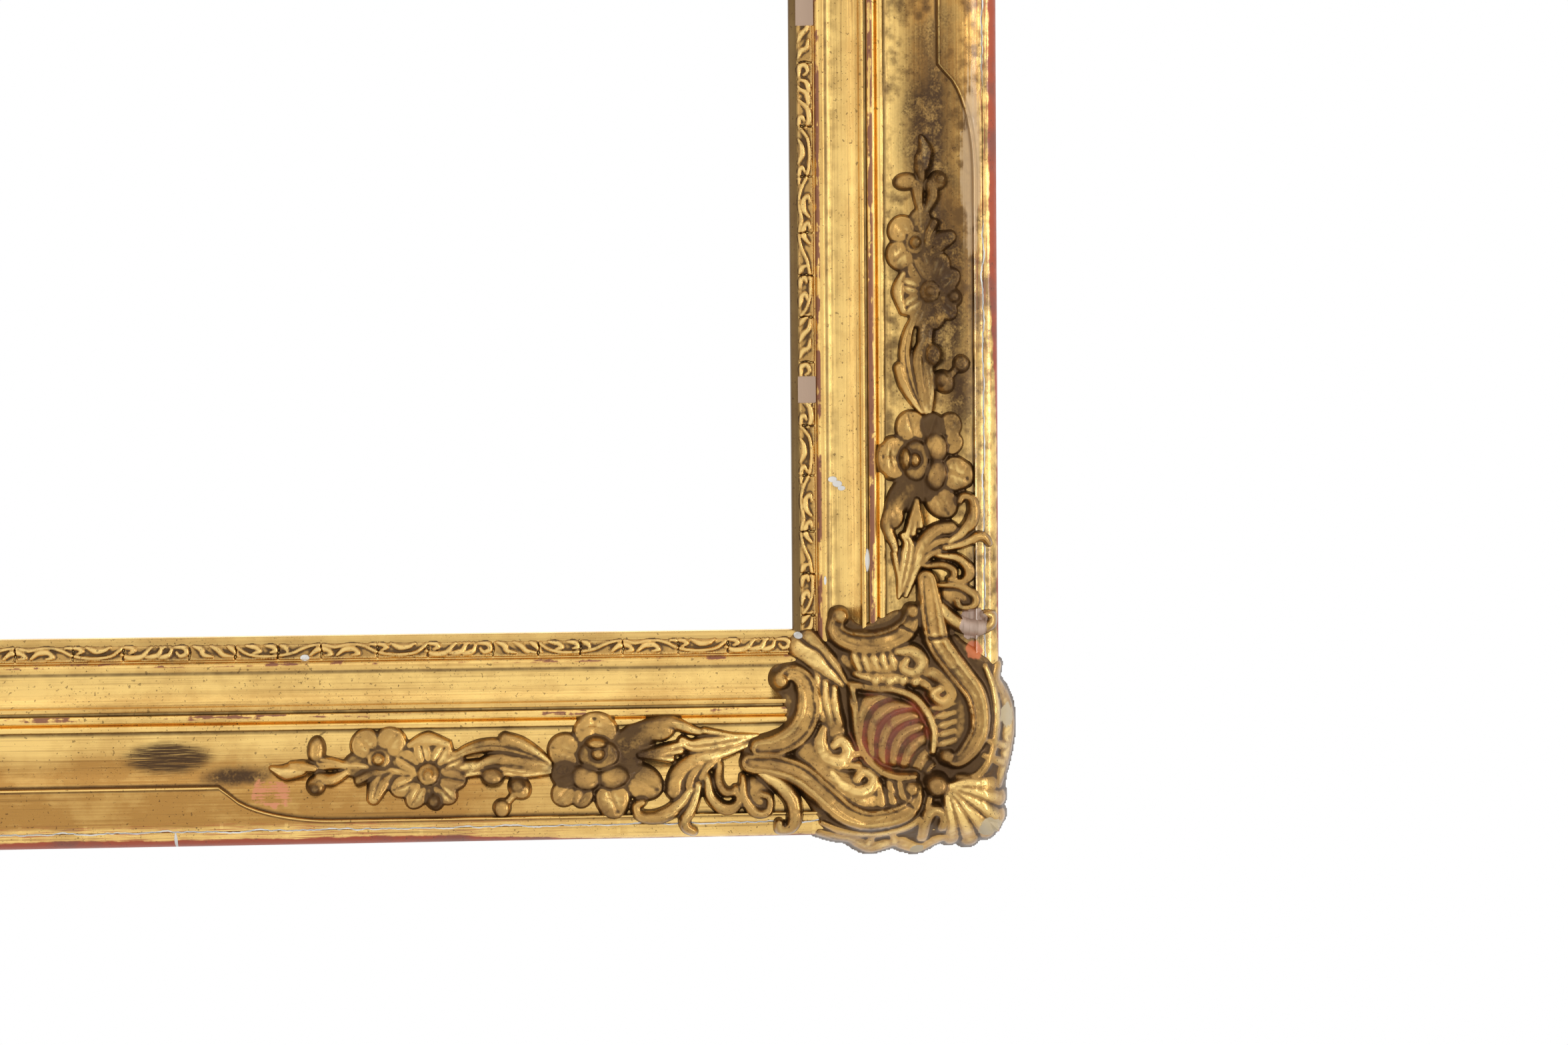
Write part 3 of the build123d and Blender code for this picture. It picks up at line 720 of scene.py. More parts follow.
class Relief:
    """Ornament as heights over a bed; run and rise are counted from the outer corner of the frame."""

    def __init__(self, runs, rises, pitch, bed):
        along = np.arange(runs[0], runs[1] + pitch, pitch)
        across = np.arange(rises[0], rises[1] + pitch, pitch)
        self.run, self.rise = np.meshgrid(along, across, indexing="ij")
        self.pitch = pitch
        self.bed = bed(self.run, self.rise)
        self.height = np.full(self.run.shape, SUNK)
        # Darkening laid on forms: partly dark patina, partly painted shade in low and concave places
        self.patina_and_shade = np.zeros(self.run.shape)
        self.crown = np.zeros(self.run.shape)
        self.whole = (slice(None), slice(None))

    def window(self, points, reach):
        spots = np.atleast_2d(points)
        low = spots.min(axis=0) - reach
        high = spots.max(axis=0) + reach
        origin = (self.run[0, 0], self.rise[0, 0])
        cut = []
        for axis in (0, 1):
            start = int((low[axis] - origin[axis]) / self.pitch)
            stop = int((high[axis] - origin[axis]) / self.pitch) + 2
            cut.append(slice(max(start, 0), max(stop, 0)))
        return tuple(cut)

    def lay(self, window, layer, patina_and_shade, crown):
        """Lays a form on the ornament so far; its height, its darkening as dark patina and painted shade,
        and its crown count where it is the higher.
        """
        higher = layer > self.height[window]
        self.height[window] = np.where(higher, layer, self.height[window])
        self.patina_and_shade[window] = np.where(higher, patina_and_shade, self.patina_and_shade[window])
        self.crown[window] = np.where(higher, crown, self.crown[window])

    def stroke(self, points, width, height, lift=0.0, section=rounded, turned=1, patina_and_shade=0.0):
        """A stroke along a smooth path; width is half of it, and each value may vary along the path."""
        path = curve(points)
        widths, heights, lifts, patina_and_shade_values = [spread(value, len(path)) for value in (width, height, lift, patina_and_shade)]
        window = self.window(path, widths.max() * 1.5)
        run = self.run[window]
        rise = self.rise[window]
        ratio = np.full(run.shape, 9.0)
        tall = np.zeros(run.shape)
        raised = np.zeros(run.shape)
        dark = np.zeros(run.shape)
        for k in range(len(path) - 1):
            step = path[k + 1] - path[k]
            share, off_run, off_rise = beside(run, rise, path[k], step)
            side = np.where(step[0] * off_rise - step[1] * off_run < 0, -turned, turned)
            here = side * np.hypot(off_run, off_rise) / (widths[k] + share * (widths[k + 1] - widths[k]))
            closer = np.abs(here) < np.abs(ratio)
            ratio = np.where(closer, here, ratio)
            tall = np.where(closer, heights[k], tall)
            raised = np.where(closer, lifts[k], raised)
            dark = np.where(closer, patina_and_shade_values[k], dark)
        self.lay(window, raised + tall * section(ratio), dark, np.maximum(1.0 - ratio**2, 0.0))

    def dome(self, centre, radii, height, lift=0.0, turn=0.0, dish=0.0, crease=0.0, patina_and_shade=0.0):
        """A rounded lobe; a petal has a dish in it or a crease along it. turn is in degrees."""
        window = self.window(centre, max(radii) * 1.5)
        run = self.run[window] - centre[0]
        rise = self.rise[window] - centre[1]
        angle = math.radians(turn)
        along = (run * math.cos(angle) + rise * math.sin(angle)) / radii[0]
        across = (rise * math.cos(angle) - run * math.sin(angle)) / radii[1]
        far = np.hypot(along, across)
        layer = lift + height * rounded(far)
        layer -= dish * np.maximum(1.0 - far**2, 0.0) ** 1.5
        layer -= crease * np.exp(-((across / 0.14) ** 2)) * (far < 0.85)
        self.lay(window, layer, patina_and_shade, np.maximum(1.0 - far**2, 0.0))

    def flower(self, centre, petals, height, dish, crease):
        """Petals as (run, rise, length, width, lift, darkening as patina and painted shade) around a
        centre, each turned outward from it.
        """
        for run, rise, length, width, lift, patina_and_shade in petals:
            turn = math.degrees(math.atan2(rise - centre[1], run - centre[0]))
            self.dome((run, rise), (length, width), height, lift, turn, dish, crease, patina_and_shade)

    def away_from(self, path):
        """Distance of every place from a path."""
        away = np.full(self.run.shape, 1e9)
        for start, end in zip(path[:-1], path[1:]):
            _, off_run, off_rise = beside(self.run, self.rise, start, end - start)
            away = np.minimum(away, np.hypot(off_run, off_rise))
        return away

    def plate(self, outline, top, edge, patina_and_shade):
        """A flat ground inside a closed outline, rounded over along its edge."""
        path = curve([*outline, outline[0]], 2.0)
        inside = np.zeros(self.run.shape, dtype=bool)
        for start, end in zip(path[:-1], path[1:]):
            spans = (start[1] > self.rise) != (end[1] > self.rise)
            slope = (end[0] - start[0]) / (end[1] - start[1] if end[1] != start[1] else 1e-9)
            inside ^= spans & (self.run < start[0] + slope * (self.rise - start[1]))
        away = self.away_from(path)
        depth = np.where(inside, away, -away)
        rim = np.clip(1.0 - depth / edge, 0.0, 1.0)
        fall = edge * (1.0 - np.sqrt(1.0 - np.minimum(rim, 0.985) ** 2))
        self.lay(self.whole, top - fall + np.minimum(depth, 0.0) * 3.0, patina_and_shade, PLATE_CROWN)

    def crack(self, points, half=0.55, depth=2.2):
        """An open crack along a few points."""
        parted = np.exp(-((self.away_from(curve(points, 2.0)) / half) ** 2))
        self.height = self.height - depth * parted
        # Darkened inside the crack as painted shade and dirt
        self.patina_and_shade = np.maximum(self.patina_and_shade, parted * 0.8)

    def finish(self, soften):
        """Evens the creases, as coats of gesso do, and notes the crowns, the creases and the darkening:
        painted highlights with rubbed gilding on crowns, painted shade in creases, dark patina with painted
        shade where darkened.
        """
        self.height = blur(self.height, soften / self.pitch)
        wobble = np.sin(self.run * 0.9 + np.sin(self.rise * 0.7) * 2.0)
        wobble = wobble * np.sin(self.rise * 0.8 + self.run * 0.23)
        swell = np.sin(self.run * 0.33 + 1.7 * np.sin(self.rise * 0.21))
        swell = swell * np.sin(self.rise * 0.37 + self.run * 0.11)
        tall = np.clip(self.height / SWELL_FULL, 0.0, 1.0)
        self.height = self.height + WOBBLE * wobble + SWELL * swell * tall
        self.front = self.bed + self.height
        fine = self.front - blur(self.front, 1.1 / self.pitch)
        crown = blur(self.crown, 0.5 / self.pitch)
        patina_and_shade = blur(self.patina_and_shade, 0.8 / self.pitch)
        # Bright on crowns and raised edges as painted highlight and rubbing, dark in creases and darkened
        # places as painted shade and patina
        rubbed = crown * CROWN_GAIN - CROWN_START + np.clip(fine * FINE_GAIN, *FINE_LIMITS)
        self.wear_highlight_and_shade = np.clip(rubbed * (1.0 - 0.6 * patina_and_shade) - patina_and_shade, -1.0, 1.0)
        self.kept = self.height > SUNK + KEPT_ABOVE
        return self


def ground(outward):
    """Height of the moulding in a corner, for a distance in from the outer edge."""
    station = RAIL_WIDTH - outward
    inner = np.array(INNER_MEMBERS[1:])
    low = np.interp(station, inner[:, 0], inner[:, 1])
    high = np.where(station < BAND_CORNER, bed_height(station), band_height(station))
    height = np.where(station < HOLLOW_START[0], low, high)
    return height - np.maximum(station - RAIL_WIDTH, 0.0) * 1.2


def arm_bed(run, rise):
    return blur(ground(rise), 2.0)


def corner_bed(run, rise):
    return blur(ground(np.minimum(run, rise)), 6.0)


# Spacing of the points of a casting's front
SPRAY_PITCH = 0.6
CARTOUCHE_PITCH = 0.75


def draw_bouquet():
    """Inner spray: a large flower, a long leaf and hooked scrolls."""
    spray = Relief((104.0, 250.0), (-2.0, 70.0), SPRAY_PITCH, arm_bed)
    stroke = spray.stroke
    dome = spray.dome
    # The darkening given to each form stands for dark patina and painted shade
    # Leaves to the right of the flower
    back_leaf = [(208, 47), (198, 52), (188, 58), (177, 61), (165, 57), (150, 54.5)]
    stroke(back_leaf, [8, 9, 6, 4, 2.4, 1.2], [4, 5, 5, 4, 3, 1.5], patina_and_shade=[0.6, 0.7, 0.4, 0.2, 0.1, 0.0])
    dome((184, 57), (8.5, 5.4), 6.2, 1.0, -8, dish=2.0, patina_and_shade=0.2)
    for tip in ((171, 50.5), (173, 46.5), (178, 42.5)):
        stroke([(195, 45), tip], [2.4, 2.6], [6, 4], 0.8, patina_and_shade=[0.6, 0.0])
    long_leaf = [(172, 52), (166, 49), (152, 50.5), (131, 54)]
    stroke(long_leaf, [3, 5.4, 4.6, 1.4], [4.5, 5, 4, 1.5], section=leaf)
    stroke([(160, 57), (154, 56), (142, 54), (131, 54)], [2.4, 2, 1.6, 1.2], [4, 3.4, 3, 1.5], patina_and_shade=0.1)
    # Stem with lobes that hook down from it
    stem = [(177, 26), (175, 34), (166, 41), (152, 45), (132, 50)]
    stroke(stem, [5, 5.4, 5, 3.6, 1.6], [5.4, 5.6, 5, 3.6, 1.8], patina_and_shade=[0.5, 0.3, 0.1, 0.05, 0.0])
    stroke([(169, 29), (167, 35), (160, 41)], [3.4, 3.8, 3], [5, 5, 4], patina_and_shade=[0.45, 0.3, 0.1])
    stroke([(162, 33), (159, 38), (152, 43)], [2.8, 3.2, 2.6], [4.5, 4.5, 3.6], patina_and_shade=[0.35, 0.2, 0.1])
    # Petals and bud
    petals = [
        (234.5, 47.5, 10, 9.5, 0.8, 0.10), (218.5, 57, 11, 12, 1.0, 0.0), (235.5, 36, 7.5, 7.5, 1.4, 0.75),
        (236, 25.5, 7, 7, 0.4, 0.15), (226, 24.5, 7, 6, 0.4, 0.25), (210, 23, 10.5, 9.5, 0.8, 0.05),
        (194, 31, 12, 9.5, 0.2, 0.25), (202, 41, 9, 8, 0.8, 0.80),
    ]
    spray.flower((217, 42), petals, 5.4, 2.6, 0.7)
    dome((224, 34), (8.5, 6.5), 6.4, 2.4, 10, dish=2.0, patina_and_shade=0.4)
    dome((209.5, 34), (9, 6), 6.4, 2.4, -8, dish=2.0, patina_and_shade=0.45)
    dome((217, 45.5), (11.5, 8), 7.2, 3.0, 0, dish=3.4, patina_and_shade=0.4)
    dome((218, 51.5), (6.5, 3.6), 9.4, 2.6, 0, patina_and_shade=0.5)
    dome((217.5, 46.5), (4.6, 4.2), 9.2, 2.6, patina_and_shade=0.4)
    # Hooked scrolls and volutes along the outer edge
    hook = [(168, 27), (174, 19.5), (181, 14.5), (189, 12.5), (195.5, 14), (197.5, 18.5), (194, 20.5)]
    stroke(hook, [3, 4, 4.4, 4.4, 4, 3.4, 2.6], [5, 5.6, 6, 6, 6, 6, 6.4], patina_and_shade=[0.1, 0.2, 0.3, 0.35, 0.5])
    tail = [(164, 29), (167, 19), (171.5, 11.5), (170.5, 6.5), (167, 4)]
    stroke(tail, [3, 3.4, 3.8, 3.6, 3], [5, 5.4, 5.8, 5.8, 6], patina_and_shade=[0.1, 0.2, 0.4])
    turn_down = [(159, 33), (157.5, 23), (152, 17.5), (146, 17), (142, 21), (144, 27)]
    stroke(turn_down, [2.6, 3.6, 4, 3.8, 3.4, 2.6], 5.8, patina_and_shade=[0.1, 0.25, 0.4])
    small_hook = [(152, 39), (153, 31), (150, 25.5), (146, 25)]
    stroke(small_hook, [2.6, 3.2, 3.4, 2.8], [4.5, 5.5, 6.4, 6.6], patina_and_shade=0.5)
    dome((132.5, 23), (8.6, 11), 4.6, 0.0, -12, patina_and_shade=0.3)
    ring = [(140, 33), (139.5, 22), (133, 14.5), (126.5, 15.5), (126, 22), (130.5, 24)]
    stroke(ring, [2, 2.8, 3.2, 3, 2.6, 2.2], 4.2, 2.2, patina_and_shade=0.25)
    drop = [(131, 36), (121, 29.5), (114, 21), (112.5, 12), (115, 5.5), (120, 4.5), (121, 8.5)]
    drop_width = [3.2, 5, 5.4, 5.2, 4.8, 4, 3]
    stroke(drop, drop_width, [5.5, 6.4, 6.8, 6.8, 6.8, 6.6, 6.4], patina_and_shade=[0.05, 0.2, 0.3, 0.2])
    return spray.finish(0.5)


def draw_garland():
    """Outer spray: buds, a small flower, a daisy, leaves and berries."""
    spray = Relief((238.0, 397.0), (10.0, 66.0), SPRAY_PITCH, arm_bed)
    stroke = spray.stroke
    dome = spray.dome
    # The darkening given to each form stands for dark patina and painted shade
    # Stem and leaves
    stem = [(376, 41), (352, 42), (334, 40), (308, 37), (280, 41), (243, 39)]
    stroke(stem, [2.4, 2.8, 3.2, 3.8, 3.4, 2.2], 3.6, patina_and_shade=[0.2, 0.1])
    long_leaf = [(295, 45), (285, 49.5), (272, 51), (256, 47), (243, 41)]
    stroke(long_leaf, [2.4, 4, 4.4, 3.4, 1.8], [4, 5, 5, 4, 2.6], section=leaf, patina_and_shade=[0.1, 0.3, 0.5, 0.1])
    middle_leaf = [(284, 40), (271, 44), (258, 42.5), (243, 40)]
    stroke(middle_leaf, [2.6, 4.4, 3.6, 1.8], [4, 5.8, 5, 3], patina_and_shade=[0.1, 0.5, 0.1])
    lower_leaf = [(292, 36), (276, 38.5), (258, 36.5), (243, 37)]
    stroke(lower_leaf, [2, 3.4, 3, 1.8], [3, 4.4, 4, 3], section=leaf)
    upper_leaf = [(267, 54.5), (259, 52), (250, 47), (243, 41.5)]
    stroke(upper_leaf, [4, 4, 3, 1.8], [5.8, 5, 4, 2.6], patina_and_shade=[0.4, 0.15, 0.0])
    hanging_leaf = [(326, 40), (333, 35), (337, 25)]
    stroke(hanging_leaf, [4, 6.8, 4], [3.4, 5, 4.2], section=leaf, patina_and_shade=[0.7, 0.4, 0.1])
    stroke([(345, 34.5), (337, 38), (328, 39)], [3, 3.2, 2], [5, 5.4, 3.4], patina_and_shade=0.65)
    stroke([(366, 36), (359, 35), (350, 39)], [3.4, 3.4, 2.2], [4.4, 4.6, 3], patina_and_shade=[0.4, 0.1])
    stroke([(298, 52), (309, 54.5), (318, 51.5)], [3, 4.8, 2.6], [4, 5, 3], patina_and_shade=0.15)
    stroke([(269, 19), (264, 24), (259, 30)], [2.4, 2.4, 2.4], 3.2, patina_and_shade=0.2)
    # Buds at the tip
    stroke([(391.5, 41), (384, 39), (375, 40)], [1.6, 4.4, 3.6], [3, 5.2, 5], patina_and_shade=0.1)
    stroke([(381, 43), (375.5, 42), (369, 41)], [1.8, 3.4, 3], [4, 6, 5], patina_and_shade=0.35)
    dome((367.5, 50), (5.2, 7.8), 6.2, 0.0, 4, crease=0.6, patina_and_shade=0.4)
    bud_leaf = [(366, 44), (358, 43), (350, 41)]
    stroke(bud_leaf, [3.6, 3, 2.2], [4.6, 4.4, 3.4], section=leaf, patina_and_shade=[0.35, 0.05])
    dome((367.5, 32), (5.4, 5.2), 5.0, 0.4, patina_and_shade=0.3)
    dome((368, 31), (3.6, 3.6), 6.8, 0.4, patina_and_shade=0.7)
    # Small flower
    petals = [
        (341.5, 52.5, 8, 8.5, 0.8, 0.05), (328, 53, 8.5, 9, 0.8, 0.05), (347, 42, 6.4, 6.4, 0.2, 0.5),
        (323, 45, 6.5, 6.5, 0.4, 0.3),
    ]
    spray.flower((334, 45), petals, 5.0, 2.2, 0.5)
    dome((334.5, 45), (7, 6.4), 5.6, 1.2, dish=1.6, patina_and_shade=0.2)
    dome((334.5, 45), (4.2, 4), 7.6, 0.8, patina_and_shade=0.3)
    # Daisy with uneven petals
    petals = [
        (319, 43.5, 8.5, 7, 0.8, 0.2), (311, 48, 8, 6, 0.9, 0.05), (301.5, 47, 8, 6.2, 0.9, 0.0),
        (295.5, 43, 7, 5.6, 0.6, 0.05), (295.5, 34.5, 8, 6.2, 1.0, 0.3), (299, 27.5, 7.4, 6, 0.6, 0.05),
        (305, 25.5, 7.6, 5.6, 0.8, 0.5), (314, 26.5, 8, 6, 0.8, 0.1), (321, 31.5, 8, 6.4, 0.6, 0.15),
    ]
    spray.flower((308, 37), petals, 5.0, 1.8, 1.1)
    dome((308, 37), (6.6, 6.4), 6.4, 1.2, dish=0.8, patina_and_shade=0.3)
    dome((308, 37), (4, 4), 8.0, 1.0, patina_and_shade=0.4)
    dome((305, 23.5), (4, 4), 6.6, 0.6, patina_and_shade=0.7)
    # Berries
    dome((274, 35.5), (7, 5.2), 7.0, 0.0, 8, patina_and_shade=0.5)
    dome((259.5, 29), (7, 6), 5.4, 0.0, 40, patina_and_shade=0.2)
    dome((260.5, 30.5), (5, 4.6), 7.4, patina_and_shade=0.65)
    dome((269, 19), (5.2, 5), 6.2, patina_and_shade=0.3)
    return spray.finish(0.45)


CARTOUCHE_OUTLINE = [
    (109, 109), (108, 97), (122, 92), (125, 82), (118, 72), (118, 60), (138, 52), (141, 40), (136, 32),
    (118, 28), (108, 20), (100, 8), (99, 1), (95, -3), (80, -4), (76, -10), (70, -12.5), (62, -10),
    (56, -8.5), (50, -11.5), (43, -12), (37, -8), (30, -4), (24, -4), (16, -6), (8, -5), (2, -2),
    (-2, 3), (-3, 14), (-5, 28), (-8, 42), (-9.5, 54), (-9.5, 64), (-6, 71), (-2, 78), (-1, 90),
    (5, 96), (12, 100), (22, 108), (26, 120), (31, 138), (38, 141), (43, 130), (44, 118), (54, 122),
    (74, 114), (82, 122), (92, 122), (94, 104), (102, 106),
]
SHELL_APEX = (76.0, 73.0)
SHELL_BAND = 8.4


def draw_shell(corner):
    """Banded turban shell lying on the diagonal, its bands crescents across it."""
    run = SHELL_APEX[0] - corner.run
    rise = SHELL_APEX[1] - corner.rise
    along = (run + rise) / math.sqrt(2.0)
    across = (rise - run) / math.sqrt(2.0)
    girth_at = [-2, 0, 6, 14, 24, 34, 42, 48, 54]
    girth = np.interp(along, girth_at, [0.5, 5, 12, 17, 19.5, 17, 11, 6, 4.5])
    ratio = across / girth
    body = rounded(ratio) * (2.5 + girth * 0.46)
    count = (along - 0.036 * (across + 2.0) ** 2) / SHELL_BAND
    bands = np.abs(np.sin(math.pi * count)) ** 0.6
    layer = 1.5 + body * (0.88 + 0.12 * bands) + 1.4 * (bands - 1.0)
    inside = (along > -2.0) & (along < 54.0) & (np.abs(ratio) < 1.3)
    # Darker between the bands as painted shade and patina; each band's crest counts as its crown
    corner.lay(corner.whole, np.where(inside, layer, SUNK), 0.30 + 0.4 * (1.0 - bands), bands)


def draw_cartouche():
    """Corner cartouche: two great scrolls, two small ones, a banded shell in its dish, and a fan."""
    corner = Relief((-14.0, 144.0), (-15.0, 144.0), CARTOUCHE_PITCH, corner_bed)
    stroke = corner.stroke
    dome = corner.dome
    # The darkening given to the plate, fields, dish and scrolls stands for dark patina and painted shade in
    # the concave places
    corner.plate(CARTOUCHE_OUTLINE, 2.4, 5.0, 0.45)
    # Smooth fields between the scrolls and the shell
    lower_field = [(104, 62), (104.5, 50), (99, 38), (89, 28), (77, 21.5), (62, 20)]
    field_patina_and_shade = [0.4, 0.3, 0.1, 0.1, 0.2]
    stroke(lower_field, [6, 9, 10.5, 10.5, 9, 5], [3, 4.8, 5.6, 5.6, 5, 3], 1.6, patina_and_shade=field_patina_and_shade)
    right_field = [(44, 95), (33, 88), (25, 78), (22, 67), (23, 56), (28, 48)]
    stroke(right_field, [6, 8.5, 8, 7.5, 7, 4], [3, 4, 3.6, 3.2, 2.8, 2], 1.6, patina_and_shade=[0.35, 0.5, 0.6, 0.5])
    stroke([(82, 94), (68, 91), (54, 91), (42, 88)], [5, 8, 8.5, 6], [3, 4.2, 4.4, 3.4], 1.8, patina_and_shade=0.3)
    stroke([(99, 86), (94, 72), (90, 58), (86, 48)], [5, 8, 8, 5], [3, 4.4, 4.4, 3.4], 1.8, patina_and_shade=0.3)
    dome((58, 55), (27, 24), 2.6, 1.6, 45, patina_and_shade=0.6)
    # Great scrolls, each with a ridge that follows its outside
    right = [
        (39, 138), (36.5, 119), (34, 105), (28, 95), (20.5, 85), (14.5, 76), (12, 65), (13, 55), (18, 46),
        (24, 40.5), (30.5, 41.5),
    ]
    girth = [5, 6.6, 6.8, 6.6, 6.2, 6, 5.4, 3.4]
    crest = [5, 6.6, 7.4, 7.6, 7.6, 7.4, 6.8, 5.4]
    stroke(right, girth, crest, 1.6, scroll, -1, [0.1, 0.05, 0.05, 0.1, 0.4])
    dome((30, 42.5), (5, 5), 7.4, 1.6, patina_and_shade=0.5)
    right_ridge = [(9, 91), (4, 79), (1.8, 67), (2.4, 54), (6.5, 41), (14, 32), (24, 31)]
    stroke(right_ridge, [1.8, 3, 3.2, 3, 2.4], 3.6, 1.4, patina_and_shade=[0.1, 0.05, 0.3, 0.3])
    lower = [
        (136, 39.5), (122, 38), (110, 34), (101, 27), (93, 19.5), (85, 13), (75, 9), (64, 9.5), (54, 12.5),
        (48, 18), (46, 26),
    ]
    stroke(lower, girth, crest, 1.6, scroll, 1, [0.2, 0.1, 0.15, 0.1, 0.35])
    dome((49, 26), (5, 5), 7.2, 1.6, patina_and_shade=0.4)
    lower_ridge = [(98, 8), (87, 2.8), (75, 0.5), (63, 1), (52, 4.5), (43, 11), (39.5, 20)]
    stroke(lower_ridge, [1.8, 3, 3.2, 3, 2.4], 3.6, 1.4, patina_and_shade=[0.3, 0.15, 0.1, 0.3])
    # Small scrolls on the inner side
    upper = [(86, 118), (88, 110), (81, 104.5), (70, 103), (58, 105.5), (49.5, 111.5), (46, 120)]
    small_girth = [3.6, 5.4, 6.6, 6.8, 6.2, 4.4]
    small_crest = [5, 6, 6.6, 6.2, 5]
    stroke(upper, small_girth, small_crest, 2.2, scroll, 1, [0.2, 0.3, 0.3, 0.25, 0.4])
    dome((85.5, 118), (5, 5), 6.6, 2.2, patina_and_shade=0.25)
    dome((47, 120.5), (4.6, 4.6), 6.2, 2.2, patina_and_shade=0.45)
    left = [
        (118, 84), (112, 87.5), (105.5, 83), (103.5, 72), (105.5, 62), (111, 54.5), (120, 49.5), (131, 48),
    ]
    stroke(left, small_girth, small_crest, 2.2, scroll, 1, [0.25, 0.2, 0.15, 0.1])
    dome((118, 83.5), (5, 5), 6.6, 2.2, patina_and_shade=0.3)
    # Leaf along the mitre, parted by the open joint
    leaf_height = [3, 3.8, 4.2, 3.4]
    stroke([(106, 101), (99, 94.5), (92, 88.5), (84, 81)], [6.5, 6.5, 5.4, 2.4], leaf_height, 1.8)
    stroke([(102, 106), (96, 99), (90, 92), (83, 81)], [4.6, 5, 4.8, 2.4], leaf_height, 1.8, patina_and_shade=0.2)
    # Flutes that wind into volutes around the dish
    for run in (78, 73.2, 68.4, 63.6, 58.6):
        flute = [(run, 99), (run - 0.4, 95), (run - 2.4, 89.5)]
        stroke(flute, [2.6, 3.2, 2.4], [2.6, 3.4, 2.4], 4.0, patina_and_shade=0.1)
    first_volute = [(55, 99), (47, 98.5), (42.5, 93), (46, 87.5), (52, 89.5), (50.5, 94)]
    stroke(first_volute, [3, 4.4, 5, 4.4, 3.8, 3], 4.0, 4.2, patina_and_shade=0.15)
    waves = [(77, 86.5), (66, 84), (56, 84), (46, 84.5), (39, 80)]
    stroke(waves, [2.6, 4.4, 4.8, 4.4, 2.6], [2.4, 3.6, 4, 3.6, 2.4], 3.2, patina_and_shade=[0.2, 0.0, 0.2])
    for run, rise in ((67, 83.5), (59.5, 83), (52, 83.5), (45.5, 83)):
        dome((run, rise), (3.6, 4.6), 4.4, 3.6, 20, patina_and_shade=0.1)
    for start, end in (((98.5, 85), (96, 63)), ((93.8, 82), (91.4, 61)), ((89, 79), (87, 60))):
        bend = ((start[0] + end[0]) / 2 + 1.2, (start[1] + end[1]) / 2)
        stroke([start, bend, end], [2.2, 3.2, 2.6], [2.6, 3.8, 3], 3.8, patina_and_shade=[0.0, 0.1, 0.3])
    second_volute = [(96, 57), (97.5, 49), (93.5, 41.5), (86.5, 40.5), (82.5, 45.5), (86, 51), (90, 48.5)]
    stroke(second_volute, [3, 4.6, 5.6, 5.2, 4.6, 4, 3], 3.4, 4.4, patina_and_shade=[0.3, 0.1, 0.0, 0.0, 0.1])
    third_volute = [(92, 35), (87, 28.5), (79, 24.5), (71.5, 26.5), (70, 32), (75, 35), (78.5, 31)]
    stroke(third_volute, [2.6, 4.2, 5, 4.6, 4, 3.6, 3], 3.6, 4.0, patina_and_shade=[0.0, 0.05, 0.15, 0.2])
    for start, end in (((85, 38), (77, 38)), ((83, 43), (77.5, 44))):
        stroke([start, end], [2.4, 2.8], [3, 3.6], 3.8, patina_and_shade=0.2)
    for start, end in (((67, 28), (66, 18)), ((61, 28.5), (59.5, 19)), ((55.5, 28.5), (54, 21))):
        stroke([start, end], [2.6, 3.2], [3, 3.6], 3.2, patina_and_shade=0.3)
    last_volute = [(46, 88), (37, 87.5), (29.5, 83), (27.5, 76), (32, 72), (36.5, 76), (33, 79)]
    stroke(last_volute, [2.8, 4.4, 5, 4.6, 4, 3.6, 3], 3.8, 3.4, patina_and_shade=[0.2, 0.3, 0.2, 0.1])
    for rise in (69.5, 64.5, 59.5, 54.5, 49.5):
        flute = [(37, rise - 1.5), (31.5, rise), (26, rise + 2)]
        stroke(flute, [2.4, 3, 2], [2.6, 3.4, 2.4], 2.8, patina_and_shade=0.2)
    # Rim of the dish that holds the shell
    upper_rim = [(80, 81), (69, 79), (57, 78), (46, 73.5), (39.5, 65), (36.5, 56), (37, 45)]
    stroke(upper_rim, [2.4, 3, 3, 2.4], 4.0, 3.6, patina_and_shade=[0.4, 0.3, 0.1, 0.1])
    lower_rim = [(80, 81), (78.5, 68), (77, 55), (73.5, 43.5), (66, 35.5), (57, 32), (47, 32)]
    stroke(lower_rim, [2.4, 3, 3, 2.4], 4.0, 3.6, patina_and_shade=[0.2, 0.3, 0.3])
    draw_shell(corner)
    # Fan below the shell, with its knob and the finger that curls beside it
    for tip in ((6, 27), (1, 19), (1.5, 9), (7.5, 1), (16, -3.5), (26, -2)):
        middle = ((30 + tip[0]) / 2 + 1, (26 + tip[1]) / 2 + 1.5)
        blade = [(31, 27), middle, tip]
        stroke(blade, [1.8, 4, 5.6], [4.4, 4.4, 4.0], [4.4, 3.0, 0.6], patina_and_shade=[0.05, 0.0, 0.2])
    finger = [(42.5, -2), (42, 8), (37.5, 14), (32, 11), (32.5, 4)]
    stroke(finger, [3.6, 4, 4, 3.4, 3], 4.8, 2.0, patina_and_shade=0.25)
    dome((35.5, 27.5), (6.6, 6.6), 8.4, 4.0, patina_and_shade=0.4)
